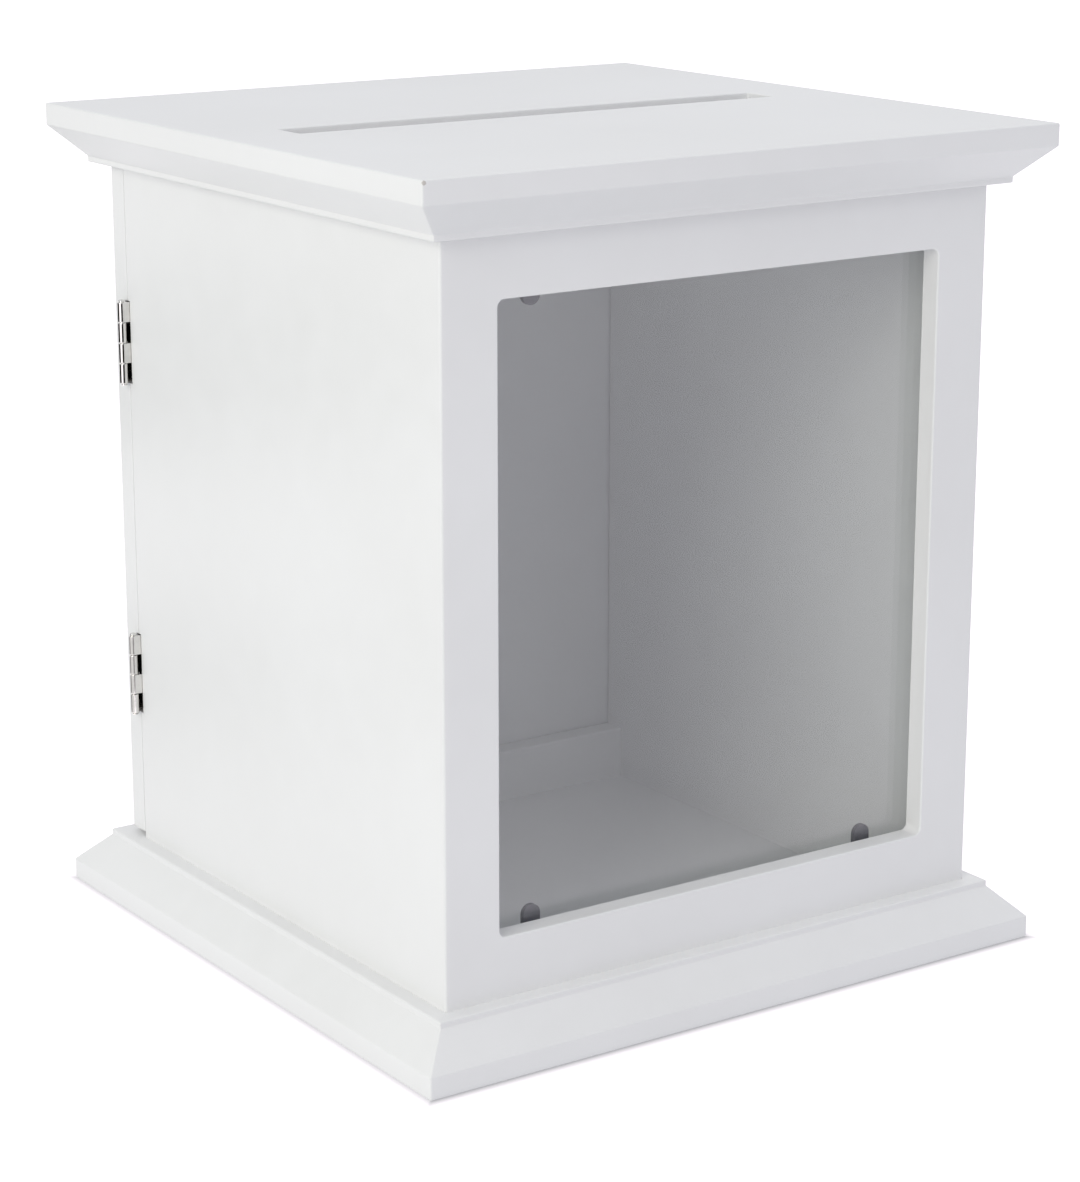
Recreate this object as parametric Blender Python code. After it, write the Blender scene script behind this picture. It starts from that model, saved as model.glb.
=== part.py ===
"""A painted tithe box: slotted top, windowed front, and a hinged and locked rear door.

The box stands on the floor plane with its middle at the origin. The window faces -Y, the door
faces +Y and hangs on two butt hinges at its left edge, and +Z is up. Lengths are in metres.
"""

import math

import bmesh
import bpy
from mathutils import Matrix, Vector

# Clearances
SEAT_GAP = 0.0003
RUNNING_GAP = 0.0001
CUT_OVERRUN = 0.0020

# Carcass
OVERALL_HEIGHT = 0.3780
BODY_WIDTH = 0.2866
BODY_DEPTH = 0.2800
PANEL_THICKNESS = 0.0120
DOOR_THICKNESS = 0.0120
BOARD_THICKNESS = 0.0098
BOARD_OVERHANG = 0.0216
EDGE_EASE = 0.0006
EDGE_EASE_STEPS = 2
RAIL_THICKNESS = 0.0120
RAIL_HEIGHT = 0.0260

# Moulding, the same strip upright on the plinth and upside down in the cornice
MOULDING_HEIGHT = 0.0166
BEAD_HEIGHT = 0.0028
BEAD_PROJECTION = 0.0078

# Posting slot in the top board
SLOT_END_MARGIN = 0.0153
SLOT_WIDTH = 0.0196
SLOT_SETBACK = 0.0024

# Window and pane
WINDOW_STILE = 0.0274
WINDOW_END_MARGIN = 0.0537
WINDOW_CORNER_RADIUS = 0.0033
WINDOW_CORNER_STEPS = 6
PANE_THICKNESS = 0.0020
PANE_BEARING = 0.0060

# Pane clips, screwed to the back of the front panel
CLIP_WIDTH = 0.0088
CLIP_LENGTH = 0.0210
CLIP_THICKNESS = 0.0026
CLIP_OVERLAP = 0.0062
CLIP_SETBACK = 0.0015
CLIP_INSET = 0.0245
CLIP_SCREW_FROM_END = 0.0048
CLIP_SCREW_RADIUS = 0.0012
CLIP_SCREW_LENGTH = 0.0095
CLIP_HEAD_RADIUS = 0.0026
CLIP_HEAD_HEIGHT = 0.0013

# Door
DOOR_SEAM = 0.0008
DOOR_FOOT_GAP = 0.0022
DOOR_HEAD_GAP = 0.0018

# Butt hinges
HINGE_HEIGHT = 0.0384
HINGE_END_MARGIN = 0.0803
HINGE_STANDOFF = 0.0031
KNUCKLE_COUNT = 4
KNUCKLE_RADIUS = 0.00195
LEAF_THICKNESS = 0.0009
LEAF_WIDTH = 0.0125
HINGE_PIN_RADIUS = 0.0010
HINGE_CAP_RADIUS = 0.0016
HINGE_CAP_HEIGHT = 0.0009
LEAF_SCREW_RADIUS = 0.0011
LEAF_SCREW_LENGTH = 0.0105
LEAF_HEAD_RADIUS = 0.0022
LEAF_HEAD_HEIGHT = 0.0011
LEAF_SCREW_END_MARGIN = 0.0072
LEAF_SCREW_EDGE_MARGIN = 0.0043

# Cam lock
LOCK_BARREL_RADIUS = 0.0080
LOCK_BEZEL_RADIUS = 0.0105
LOCK_BEZEL_THICKNESS = 0.0018
LOCK_BORE_RADIUS = 0.0050
LOCK_NUT_ACROSS_FLATS = 0.0210
LOCK_NUT_THICKNESS = 0.0045
LOCK_NUT_RAIL_GAP = 0.0020
PLUG_PROUD = 0.0003
PLUG_TAIL_WIDTH = 0.0060
CAM_THICKNESS = 0.0016
CAM_WIDTH = 0.0130
CAM_RAIL_OVERLAP = 0.0080
CAM_RAIL_GAP = 0.0008
CAM_SCREW_RADIUS = 0.0016
CAM_SCREW_LENGTH = 0.0060
CAM_SCREW_HEAD_RADIUS = 0.0040
CAM_SCREW_HEAD_HEIGHT = 0.0014

# Key
KEY_THICKNESS = 0.0014
KEY_BLADE_HEIGHT = 0.0056
KEY_BLADE_LENGTH = 0.0180
KEY_SHOULDER_GAP = 0.0008
KEY_NECK_LENGTH = 0.0030
KEY_BOW_RADIUS = 0.0066
KEY_HOLE_RADIUS = 0.0022
KEY_CUT_DEPTH = 0.0011
KEY_CUT_COUNT = 4

# Screw shapes, as shares of the shank's or the head's radius
SCREW_TIP_SHARE = 1.5
PAN_CROWN_SHARE = 0.75
RECESS_ARM_SHARE = 0.5
RECESS_BLADE_SHARE = 0.25
BEZEL_RIM_SHARE = 1 / 3

# Facets of the round pieces
ROUND_SIDES = 32
SMALL_ROUND_SIDES = 20
DOME_STEPS = 4

# Places that follow from the sizes
HALF_WIDTH = BODY_WIDTH / 2
FRONT_Y = -BODY_DEPTH / 2
DOOR_OUTER_Y = BODY_DEPTH / 2
DOOR_INNER_Y = DOOR_OUTER_Y - DOOR_THICKNESS
PANEL_BACK_Y = FRONT_Y + PANEL_THICKNESS
SIDE_REAR_Y = DOOR_INNER_Y - DOOR_SEAM
SEAM_Y = DOOR_INNER_Y - DOOR_SEAM / 2
SIDE_INNER_X = HALF_WIDTH - PANEL_THICKNESS
PANEL_FOOT_Z = BOARD_THICKNESS + SEAT_GAP
PANEL_HEAD_Z = OVERALL_HEIGHT - BOARD_THICKNESS - SEAT_GAP
PLINTH_TOP_Z = PANEL_FOOT_Z + MOULDING_HEIGHT
CORNICE_FOOT_Z = PANEL_HEAD_Z - MOULDING_HEIGHT
DOOR_FOOT_Z = PLINTH_TOP_Z + DOOR_FOOT_GAP
DOOR_HEAD_Z = CORNICE_FOOT_Z - DOOR_HEAD_GAP
WINDOW_MIDDLE_Z = OVERALL_HEIGHT / 2
RAIL_INNER_Y = SIDE_REAR_Y - RAIL_THICKNESS
TOP_RAIL_FOOT_Z = PANEL_HEAD_Z - RAIL_HEIGHT
HINGE_X = -HALF_WIDTH - HINGE_STANDOFF
LEAF_PLATE_X = max(HINGE_X + KNUCKLE_RADIUS, -HALF_WIDTH) + SEAT_GAP
DOOR_MIDDLE_Z = (DOOR_FOOT_Z + DOOR_HEAD_Z) / 2
HINGE_SPACING = DOOR_HEAD_Z - DOOR_FOOT_Z - 2 * HINGE_END_MARGIN
LEAF_SCREW_X = HINGE_X + LEAF_WIDTH - LEAF_SCREW_EDGE_MARGIN
LEAF_SCREW_RISE = HINGE_HEIGHT / 2 - LEAF_SCREW_END_MARGIN
SLOT_LENGTH = BODY_WIDTH - 2 * SLOT_END_MARGIN
WINDOW_WIDTH = BODY_WIDTH - 2 * WINDOW_STILE
WINDOW_HEIGHT = OVERALL_HEIGHT - 2 * WINDOW_END_MARGIN

# Lock places
NUT_CORNER_RADIUS = LOCK_NUT_ACROSS_FLATS / 2 / math.cos(math.pi / 6)
LOCK_Z = TOP_RAIL_FOOT_Z - NUT_CORNER_RADIUS - LOCK_NUT_RAIL_GAP
CAM_OUTER_Y = RAIL_INNER_Y - CAM_RAIL_GAP
CAM_INNER_Y = CAM_OUTER_Y - CAM_THICKNESS
BARREL_END_Y = CAM_OUTER_Y + SEAT_GAP
BEZEL_FACE_Y = DOOR_OUTER_Y + SEAT_GAP + LOCK_BEZEL_THICKNESS
PLUG_FACE_Y = BEZEL_FACE_Y + PLUG_PROUD
PLUG_SHOULDER_Y = CAM_OUTER_Y + SEAT_GAP
PLUG_RADIUS = LOCK_BORE_RADIUS - 2 * RUNNING_GAP
CAM_REACH = TOP_RAIL_FOOT_Z - LOCK_Z + CAM_RAIL_OVERLAP

# Finishes: colour, roughness, metallic value
WHITE_PAINT = ("white_paint", (0.86, 0.86, 0.86), 0.45, 0.0)
CLEAR_SHEET = ("clear_sheet", (0.86, 0.87, 0.88), 0.05, 0.0)
GREY_PLASTIC = ("grey_plastic", (0.17, 0.17, 0.20), 0.50, 0.0)
BRIGHT_NICKEL = ("bright_nickel", (0.72, 0.70, 0.66), 0.18, 1.0)
ZINC_STEEL = ("zinc_steel", (0.60, 0.61, 0.63), 0.35, 1.0)


def clear_scene():
    """Removes whatever the new scene came with."""
    for old in list(bpy.data.objects):
        bpy.data.objects.remove(old, do_unlink=True)


def finish_material(finish):
    """Makes a Principled material from a finish, or returns the one made before."""
    name, colour, roughness, metallic = finish
    material = bpy.data.materials.get(name)
    if material is None:
        material = bpy.data.materials.new(name)
        material.use_nodes = True
        shader = material.node_tree.nodes["Principled BSDF"]
        shader.inputs["Base Color"].default_value = (*colour, 1.0)
        shader.inputs["Roughness"].default_value = roughness
        shader.inputs["Metallic"].default_value = metallic
    return material


def add_object(name, mesh_builder, finish=None, smooth=False):
    """Turns a bmesh into a linked object. Without a finish the object is a cutter."""
    mesh = bpy.data.meshes.new(name)
    bmesh.ops.recalc_face_normals(mesh_builder, faces=mesh_builder.faces)
    mesh_builder.to_mesh(mesh)
    mesh_builder.free()
    item = bpy.data.objects.new(name, mesh)
    bpy.context.scene.collection.objects.link(item)
    if finish is None:
        item.hide_render = True
        item.display_type = "WIRE"
    else:
        mesh.materials.append(finish_material(finish))
    if smooth:
        mesh.shade_smooth()
        mesh.set_sharp_from_angle(angle=math.radians(35))
    return item


def set_origin(item, point):
    """Moves an object's origin to a world point and leaves its mesh where it is."""
    point = Vector(point)
    item.data.transform(Matrix.Translation(-point))
    item.location = point


def subtract(item, cutter):
    """Cuts one object out of another."""
    cut = item.modifiers.new(cutter.name, "BOOLEAN")
    cut.operation = "DIFFERENCE"
    cut.solver = "EXACT"
    cut.object = cutter


def unite(item, other):
    """Joins a hidden helper to an object."""
    join = item.modifiers.new(other.name, "BOOLEAN")
    join.operation = "UNION"
    join.solver = "EXACT"
    join.object = other


def box_mesh(low, high):
    """A bmesh box between two corners."""
    shape = bmesh.new()
    bmesh.ops.create_cube(shape, size=1.0)
    low, high = Vector(low), Vector(high)
    size = high - low
    bmesh.ops.scale(shape, vec=size, verts=shape.verts)
    bmesh.ops.translate(shape, vec=(low + high) / 2, verts=shape.verts)
    return shape


def box(name, low, high, finish=None):
    """A plain box as an object."""
    return add_object(name, box_mesh(low, high), finish)


def eased_box(name, low, high, is_eased):
    """A painted box with some edges rounded, chosen by the middle point of each edge."""
    shape = box_mesh(low, high)
    edges = []
    for edge in shape.edges:
        middle = (edge.verts[0].co + edge.verts[1].co) / 2
        if is_eased(middle):
            edges.append(edge)
    bmesh.ops.bevel(
        shape,
        geom=edges,
        offset=EDGE_EASE,
        offset_type="OFFSET",
        segments=EDGE_EASE_STEPS,
        profile=0.5,
        affect="EDGES",
    )
    return add_object(name, shape, WHITE_PAINT)


def prism(name, outline, start, end, along, finish=None, smooth=False):
    """Extrudes a closed outline. The outline is in the two other axes, in X, Y, Z order."""
    shape = bmesh.new()
    order = {"X": (1, 2, 0), "Y": (0, 2, 1), "Z": (0, 1, 2)}[along]
    rings = []
    for depth in (start, end):
        ring = []
        for first, second in outline:
            point = [0.0, 0.0, 0.0]
            point[order[0]], point[order[1]], point[order[2]] = first, second, depth
            ring.append(shape.verts.new(point))
        rings.append(ring)
    count = len(outline)
    shape.faces.new(rings[0])
    shape.faces.new(rings[1])
    for i in range(count):
        j = (i + 1) % count
        shape.faces.new((rings[0][i], rings[0][j], rings[1][j], rings[1][i]))
    return add_object(name, shape, finish, smooth)


def arc(centre, radius, first_deg, last_deg, steps):
    """Points along an arc, both ends included."""
    points = []
    for step in range(steps + 1):
        angle = math.radians(first_deg + (last_deg - first_deg) * step / steps)
        points.append((centre[0] + radius * math.cos(angle), centre[1] + radius * math.sin(angle)))
    return points


def circle(centre, radius, sides):
    """The corners of a regular polygon about a centre."""
    return arc(centre, radius, 0.0, 360.0, sides)[:-1]


def round_rectangle(centre, width, height, radius, steps):
    """A rectangle with round corners."""
    points = []
    corners = ((1, 1, 0), (-1, 1, 90), (-1, -1, 180), (1, -1, 270))
    for side_x, side_y, first in corners:
        corner = (
            centre[0] + side_x * (width / 2 - radius),
            centre[1] + side_y * (height / 2 - radius),
        )
        points += arc(corner, radius, first, first + 90, steps)
    return points


def turned(name, profile, origin, axis, sides, finish=None):
    """Spins a profile of (radius, distance along the axis) points round an axis."""
    shape = bmesh.new()
    turn = Vector((0, 0, 1)).rotation_difference(Vector(axis)).to_matrix()
    origin = Vector(origin)
    rings = []
    for radius, along in profile:
        ring = []
        corners = circle((0.0, 0.0), radius, sides) if radius > 0 else [(0.0, 0.0)]
        for x, y in corners:
            ring.append(shape.verts.new(turn @ Vector((x, y, along)) + origin))
        rings.append(ring)
    for lower, upper in zip(rings, rings[1:]):
        for i in range(sides):
            j = (i + 1) % sides
            if len(lower) == 1:
                shape.faces.new((lower[0], upper[i], upper[j]))
            elif len(upper) == 1:
                shape.faces.new((lower[i], upper[0], lower[j]))
            else:
                shape.faces.new((lower[i], lower[j], upper[j], upper[i]))
    for ring in (rings[0], rings[-1]):
        if len(ring) > 1:
            shape.faces.new(ring)
    return add_object(name, shape, finish, smooth=True)


# Boards and panels


def build_boards():
    """The slotted top board and the base board, square where a moulding meets them."""
    reach_x = HALF_WIDTH + BOARD_OVERHANG
    reach_y = DOOR_OUTER_Y + BOARD_OVERHANG
    top_foot_z = OVERALL_HEIGHT - BOARD_THICKNESS
    top = eased_box(
        "top_board",
        (-reach_x, -reach_y, top_foot_z),
        (reach_x, reach_y, OVERALL_HEIGHT),
        lambda middle: middle.z > top_foot_z + EDGE_EASE,
    )
    slot = box(
        "slot_cutter",
        (-SLOT_LENGTH / 2, SLOT_SETBACK - SLOT_WIDTH / 2, PANEL_HEAD_Z - CUT_OVERRUN),
        (SLOT_LENGTH / 2, SLOT_SETBACK + SLOT_WIDTH / 2, OVERALL_HEIGHT + CUT_OVERRUN),
    )
    subtract(top, slot)
    eased_box(
        "base_board",
        (-reach_x, -reach_y, 0.0),
        (reach_x, reach_y, BOARD_THICKNESS),
        lambda middle: middle.z < BOARD_THICKNESS - EDGE_EASE,
    )


def build_front_panel():
    """The face with its window, and the rebate behind it that the pane lies in."""
    panel = eased_box(
        "front_panel",
        (-HALF_WIDTH, FRONT_Y, PANEL_FOOT_Z),
        (HALF_WIDTH, PANEL_BACK_Y, PANEL_HEAD_Z),
        lambda middle: middle.y < FRONT_Y + EDGE_EASE
        and abs(middle.x) > HALF_WIDTH - EDGE_EASE,
    )
    opening = round_rectangle(
        (0.0, WINDOW_MIDDLE_Z),
        WINDOW_WIDTH,
        WINDOW_HEIGHT,
        WINDOW_CORNER_RADIUS,
        WINDOW_CORNER_STEPS,
    )
    window = prism(
        "window_cutter", opening, FRONT_Y - CUT_OVERRUN, PANEL_BACK_Y + CUT_OVERRUN, "Y"
    )
    subtract(panel, window)
    rebate_half_x = WINDOW_WIDTH / 2 + PANE_BEARING
    rebate_half_z = WINDOW_HEIGHT / 2 + PANE_BEARING
    rebate_floor = PANEL_BACK_Y - PANE_THICKNESS - SEAT_GAP
    rebate = box(
        "rebate_cutter",
        (-rebate_half_x, rebate_floor, WINDOW_MIDDLE_Z - rebate_half_z),
        (rebate_half_x, PANEL_BACK_Y + CUT_OVERRUN, WINDOW_MIDDLE_Z + rebate_half_z),
    )
    subtract(panel, rebate)
    pane_half_x = rebate_half_x - SEAT_GAP
    pane_half_z = rebate_half_z - SEAT_GAP
    box(
        "window_pane",
        (-pane_half_x, PANEL_BACK_Y - PANE_THICKNESS, WINDOW_MIDDLE_Z - pane_half_z),
        (pane_half_x, PANEL_BACK_Y, WINDOW_MIDDLE_Z + pane_half_z),
        CLEAR_SHEET,
    )
    return panel


def build_side_panels():
    """The two sides, which butt against the back of the front panel."""
    sides = {}
    for name, low_x, high_x in (
        ("left_side_panel", -HALF_WIDTH, -SIDE_INNER_X),
        ("right_side_panel", SIDE_INNER_X, HALF_WIDTH),
    ):
        sides[name] = eased_box(
            name,
            (low_x, PANEL_BACK_Y + SEAT_GAP, PANEL_FOOT_Z),
            (high_x, SIDE_REAR_Y, PANEL_HEAD_Z),
            lambda middle: middle.y > SIDE_REAR_Y - EDGE_EASE
            and abs(middle.x) > HALF_WIDTH - EDGE_EASE,
        )
    return sides


def build_rails():
    """The two rails between the sides, which the closed door overlaps."""
    reach_x = SIDE_INNER_X - SEAT_GAP
    for name, low_z in (("rear_top_rail", TOP_RAIL_FOOT_Z), ("rear_bottom_rail", PANEL_FOOT_Z)):
        box(
            name,
            (-reach_x, RAIL_INNER_Y, low_z),
            (reach_x, SIDE_REAR_Y, low_z + RAIL_HEIGHT),
            WHITE_PAINT,
        )


def moulding_profile(back_offset):
    """Points of (projection from the body's face, distance from the bead end).

    A back offset below zero thickens the strip behind the body's face, as the back strips need
    to reach the carcass past the door.
    """
    face = [
        (BEAD_PROJECTION, 0.0),
        (BEAD_PROJECTION, BEAD_HEIGHT),
        (BOARD_OVERHANG, MOULDING_HEIGHT),
    ]
    if back_offset < 0:
        return (
            [(back_offset, 0.0), (0.0, 0.0)]
            + face
            + [(0.0, MOULDING_HEIGHT), (back_offset, MOULDING_HEIGHT)]
        )
    return [(back_offset, 0.0)] + face + [(back_offset, MOULDING_HEIGHT)]


def build_strip(name, half_run, face_distance, heading_deg, bead_z, up, back_offset):
    """One mitred length of moulding.

    The strip is drawn facing -Y with its body face at face_distance in front of the origin, and
    then turned to its side of the box. Its ends follow the diagonal of the corner in front of
    the body's face, and are square behind it.
    """
    shape = bmesh.new()
    profile = moulding_profile(back_offset)
    mitre_allowance = SEAT_GAP / math.sqrt(2)
    turn = Matrix.Rotation(math.radians(heading_deg), 3, "Z")
    rings = []
    for side in (-1, 1):
        ring = []
        for projection, rise in profile:
            x = side * (half_run + max(projection, 0.0) - mitre_allowance)
            point = turn @ Vector((x, -face_distance - projection, bead_z + up * rise))
            ring.append(shape.verts.new(point))
        rings.append(ring)
    count = len(profile)
    for i in range(count):
        j = (i + 1) % count
        shape.faces.new((rings[0][i], rings[0][j], rings[1][j], rings[1][i]))
    for ring in rings:
        if back_offset < 0:
            shape.faces.new((ring[0], ring[1], ring[-2], ring[-1]))
            shape.faces.new(ring[1:-1])
        else:
            shape.faces.new(ring)
    return add_object(name, shape, WHITE_PAINT)


def build_mouldings():
    """The cornice under the top board and the plinth on the base board."""
    half_depth = BODY_DEPTH / 2
    back_offset = -(DOOR_OUTER_Y - SIDE_REAR_Y - SEAT_GAP)
    for set_name, bead_z, up in (("cornice", CORNICE_FOOT_Z, 1), ("plinth", PLINTH_TOP_Z, -1)):
        build_strip(set_name + "_front", HALF_WIDTH, half_depth, 0, bead_z, up, SEAT_GAP)
        build_strip(set_name + "_right", half_depth, HALF_WIDTH, 90, bead_z, up, SEAT_GAP)
        build_strip(set_name + "_back", HALF_WIDTH, half_depth, 180, bead_z, up, back_offset)
        build_strip(set_name + "_left", half_depth, HALF_WIDTH, -90, bead_z, up, SEAT_GAP)


# Fasteners


def countersunk_profile(head_radius, head_height, shank_radius, length, clearance):
    """A countersunk screw's outline from its tip to its head, or its hole with a clearance."""
    tip_length = shank_radius * SCREW_TIP_SHARE
    return [
        (0.0, -length - clearance),
        (shank_radius + clearance, -length - clearance + tip_length),
        (shank_radius + clearance, -head_height),
        (head_radius + clearance, clearance),
        (0.0, clearance),
    ]


def pan_profile(head_radius, head_height, shank_radius, length, clearance):
    """A pan head screw's outline, from its tip to the top of its head."""
    tip_length = shank_radius * SCREW_TIP_SHARE
    return [
        (0.0, -length - clearance),
        (shank_radius + clearance, -length - clearance + tip_length),
        (shank_radius + clearance, 0.0),
        (head_radius + clearance, 0.0),
        (head_radius + clearance, head_height / 2),
        (head_radius * PAN_CROWN_SHARE, head_height),
        (0.0, head_height),
    ]


def cross_cutter(name, point, axis, arm, depth):
    """The two bars of a cross-shaped screwdriver recess."""
    turn = Vector((0, 0, 1)).rotation_difference(Vector(axis)).to_matrix().to_4x4()
    place = Matrix.Translation(Vector(point)) @ turn
    blade = arm * RECESS_BLADE_SHARE
    bars = []
    for index, (half_x, half_y) in enumerate(((arm, blade), (blade, arm))):
        shape = box_mesh((-half_x, -half_y, -depth), (half_x, half_y, CUT_OVERRUN))
        bmesh.ops.transform(shape, matrix=place, verts=shape.verts)
        bars.append(add_object(f"{name}_recess_{index + 1}", shape))
    return bars


def recess_head(screw, point, axis, head_radius, head_height):
    """Cuts a cross recess half as deep as the head into a screw."""
    arm = head_radius * RECESS_ARM_SHARE
    for bar in cross_cutter(screw.name, point, axis, arm, head_height / 2):
        subtract(screw, bar)


# Pane clips


def build_pane_clips(panel):
    """Four tabs on the panel's back, with round ends, and the screws that hold them.

    Three reach past the window's edge, and the upper right one stops behind it.
    """
    edge_z = WINDOW_HEIGHT / 2
    near_x = WINDOW_WIDTH / 2 - CLIP_INSET
    places = (
        (-near_x, 1, CLIP_OVERLAP),
        (near_x, 1, -CLIP_SETBACK),
        (-near_x, -1, CLIP_OVERLAP),
        (near_x, -1, CLIP_OVERLAP),
    )
    back = PANEL_BACK_Y + SEAT_GAP
    half = CLIP_WIDTH / 2
    for index, (x, up, overlap) in enumerate(places, start=1):
        edge = WINDOW_MIDDLE_Z + up * edge_z
        reach = CLIP_LENGTH - overlap
        inner = (x, edge + up * (half - overlap))
        outer = (x, edge + up * (reach - half))
        outline = arc(outer, half, up * 90 - 90, up * 90 + 90, 10)
        outline += arc(inner, half, up * 90 + 90, up * 90 + 270, 10)
        clip = prism(
            f"pane_clip_{index}", outline, back, back + CLIP_THICKNESS, "Y", GREY_PLASTIC, True
        )
        screw_z = edge + up * (reach - CLIP_SCREW_FROM_END)
        seat = Vector((x, back + CLIP_THICKNESS + SEAT_GAP, screw_z))
        sizes = (CLIP_HEAD_RADIUS, CLIP_HEAD_HEIGHT, CLIP_SCREW_RADIUS, CLIP_SCREW_LENGTH)
        hole = turned(
            f"pane_clip_hole_{index}",
            pan_profile(*sizes, SEAT_GAP),
            seat,
            (0, 1, 0),
            SMALL_ROUND_SIDES,
        )
        subtract(clip, hole)
        subtract(panel, hole)
        screw = turned(
            f"pane_clip_screw_{index}",
            pan_profile(*sizes, 0.0),
            seat,
            (0, 1, 0),
            SMALL_ROUND_SIDES,
            ZINC_STEEL,
        )
        crown = seat + Vector((0, CLIP_HEAD_HEIGHT, 0))
        recess_head(screw, crown, (0, 1, 0), CLIP_HEAD_RADIUS, CLIP_HEAD_HEIGHT)


# Door and hinges


def build_door():
    """The overlay door, eased all round."""
    return eased_box(
        "rear_door",
        (-HALF_WIDTH, DOOR_INNER_Y, DOOR_FOOT_Z),
        (HALF_WIDTH, DOOR_OUTER_Y, DOOR_HEAD_Z),
        lambda middle: True,
    )


def rolled_outline(side):
    """A knuckle seen from above: the tongue meets its barrel on a tangent and curls round it."""
    inner_rise = KNUCKLE_RADIUS - LEAF_THICKNESS
    meeting_deg = math.degrees(math.asin(inner_rise / KNUCKLE_RADIUS))
    outline = []
    for x, y in arc((0.0, 0.0), KNUCKLE_RADIUS, 90, 360 + meeting_deg, ROUND_SIDES):
        outline.append((HINGE_X + x, SEAM_Y + side * y))
    tongue_x = LEAF_PLATE_X + LEAF_THICKNESS
    outline.append((tongue_x, SEAM_Y + side * inner_rise))
    outline.append((tongue_x, SEAM_Y + side * KNUCKLE_RADIUS))
    return outline


def hinge_leaf(name, middle_z, on_door):
    """One hinge leaf: a plate let into the wood, rolled round the pin at every other knuckle."""
    side = 1 if on_door else -1
    near = SEAM_Y + side * (KNUCKLE_RADIUS - LEAF_THICKNESS)
    far = SEAM_Y + side * KNUCKLE_RADIUS
    low_y, high_y = min(near, far), max(near, far)
    foot = middle_z - HINGE_HEIGHT / 2
    pitch = HINGE_HEIGHT / KNUCKLE_COUNT
    plate = box(
        name,
        (LEAF_PLATE_X, low_y, foot + SEAT_GAP),
        (HINGE_X + LEAF_WIDTH, high_y, foot + HINGE_HEIGHT - SEAT_GAP),
        BRIGHT_NICKEL,
    )
    for knuckle in range(KNUCKLE_COUNT):
        from_top = KNUCKLE_COUNT - knuckle
        if (from_top % 2 == 0) != on_door:
            continue
        low_z = foot + knuckle * pitch + SEAT_GAP / 2
        high_z = low_z + pitch - SEAT_GAP
        unite(plate, prism(f"{name}_knuckle_{knuckle}", rolled_outline(side), low_z, high_z, "Z"))
    bore = prism(
        f"{name}_bore",
        circle((HINGE_X, SEAM_Y), HINGE_PIN_RADIUS + RUNNING_GAP, SMALL_ROUND_SIDES),
        foot - CUT_OVERRUN,
        foot + HINGE_HEIGHT + CUT_OVERRUN,
        "Z",
    )
    subtract(plate, bore)
    return plate


def leaf_mortise(name, middle_z, on_door):
    """The shallow pocket that a leaf lies in, open to the side where the barrel stands."""
    side = 1 if on_door else -1
    mouth = SEAM_Y + side * (DOOR_SEAM / 2 - CUT_OVERRUN)
    floor = SEAM_Y + side * (KNUCKLE_RADIUS + SEAT_GAP)
    half = HINGE_HEIGHT / 2 + SEAT_GAP
    return box(
        name,
        (-HALF_WIDTH - CUT_OVERRUN, min(mouth, floor), middle_z - half),
        (HINGE_X + LEAF_WIDTH + SEAT_GAP, max(mouth, floor), middle_z + half),
    )


def hinge_pin(name, middle_z):
    """The pin with its two domed caps."""
    half = HINGE_HEIGHT / 2 + SEAT_GAP
    dome = []
    for step in range(DOME_STEPS + 1):
        angle = math.pi / 2 * step / DOME_STEPS
        dome.append((HINGE_CAP_RADIUS * math.cos(angle), HINGE_CAP_HEIGHT * math.sin(angle)))
    upper = [(radius, half + rise) for radius, rise in dome[:-1]]
    upper.append((0.0, half + HINGE_CAP_HEIGHT))
    lower = [(radius, -along) for radius, along in reversed(upper)]
    profile = lower + [(HINGE_PIN_RADIUS, -half), (HINGE_PIN_RADIUS, half)] + upper
    return turned(
        name, profile, (HINGE_X, SEAM_Y, middle_z), (0, 0, 1), SMALL_ROUND_SIDES, BRIGHT_NICKEL
    )


def leaf_screws(hinge_name, middle_z, on_door, leaf, wood):
    """The two countersunk screws of one leaf, and their holes."""
    side = 1 if on_door else -1
    axis = (0, -side, 0)
    face_y = SEAM_Y + side * (KNUCKLE_RADIUS - LEAF_THICKNESS)
    sizes = (LEAF_HEAD_RADIUS, LEAF_HEAD_HEIGHT, LEAF_SCREW_RADIUS, LEAF_SCREW_LENGTH)
    owner = "door" if on_door else "body"
    for index, offset in enumerate((LEAF_SCREW_RISE, -LEAF_SCREW_RISE), start=1):
        point = Vector((LEAF_SCREW_X, face_y, middle_z + offset))
        name = f"{hinge_name}_{owner}_screw_{index}"
        hole = turned(
            f"{name}_hole",
            countersunk_profile(*sizes, SEAT_GAP),
            point,
            axis,
            SMALL_ROUND_SIDES,
        )
        subtract(leaf, hole)
        subtract(wood, hole)
        screw = turned(
            name, countersunk_profile(*sizes, 0.0), point, axis, SMALL_ROUND_SIDES, BRIGHT_NICKEL
        )
        recess_head(screw, point, axis, LEAF_HEAD_RADIUS, LEAF_HEAD_HEIGHT)


def build_hinges(door, left_side):
    """Both butt hinges, let into the door and into the end of the left side."""
    for hinge_name, middle_z in (
        ("upper_hinge", DOOR_MIDDLE_Z + HINGE_SPACING / 2),
        ("lower_hinge", DOOR_MIDDLE_Z - HINGE_SPACING / 2),
    ):
        for owner, on_door, wood in (("body", False, left_side), ("door", True, door)):
            leaf = hinge_leaf(f"{hinge_name}_{owner}_leaf", middle_z, on_door)
            subtract(wood, leaf_mortise(f"{hinge_name}_{owner}_mortise", middle_z, on_door))
            leaf_screws(hinge_name, middle_z, on_door, leaf, wood)
        hinge_pin(f"{hinge_name}_pin", middle_z)


# Cam lock


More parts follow.
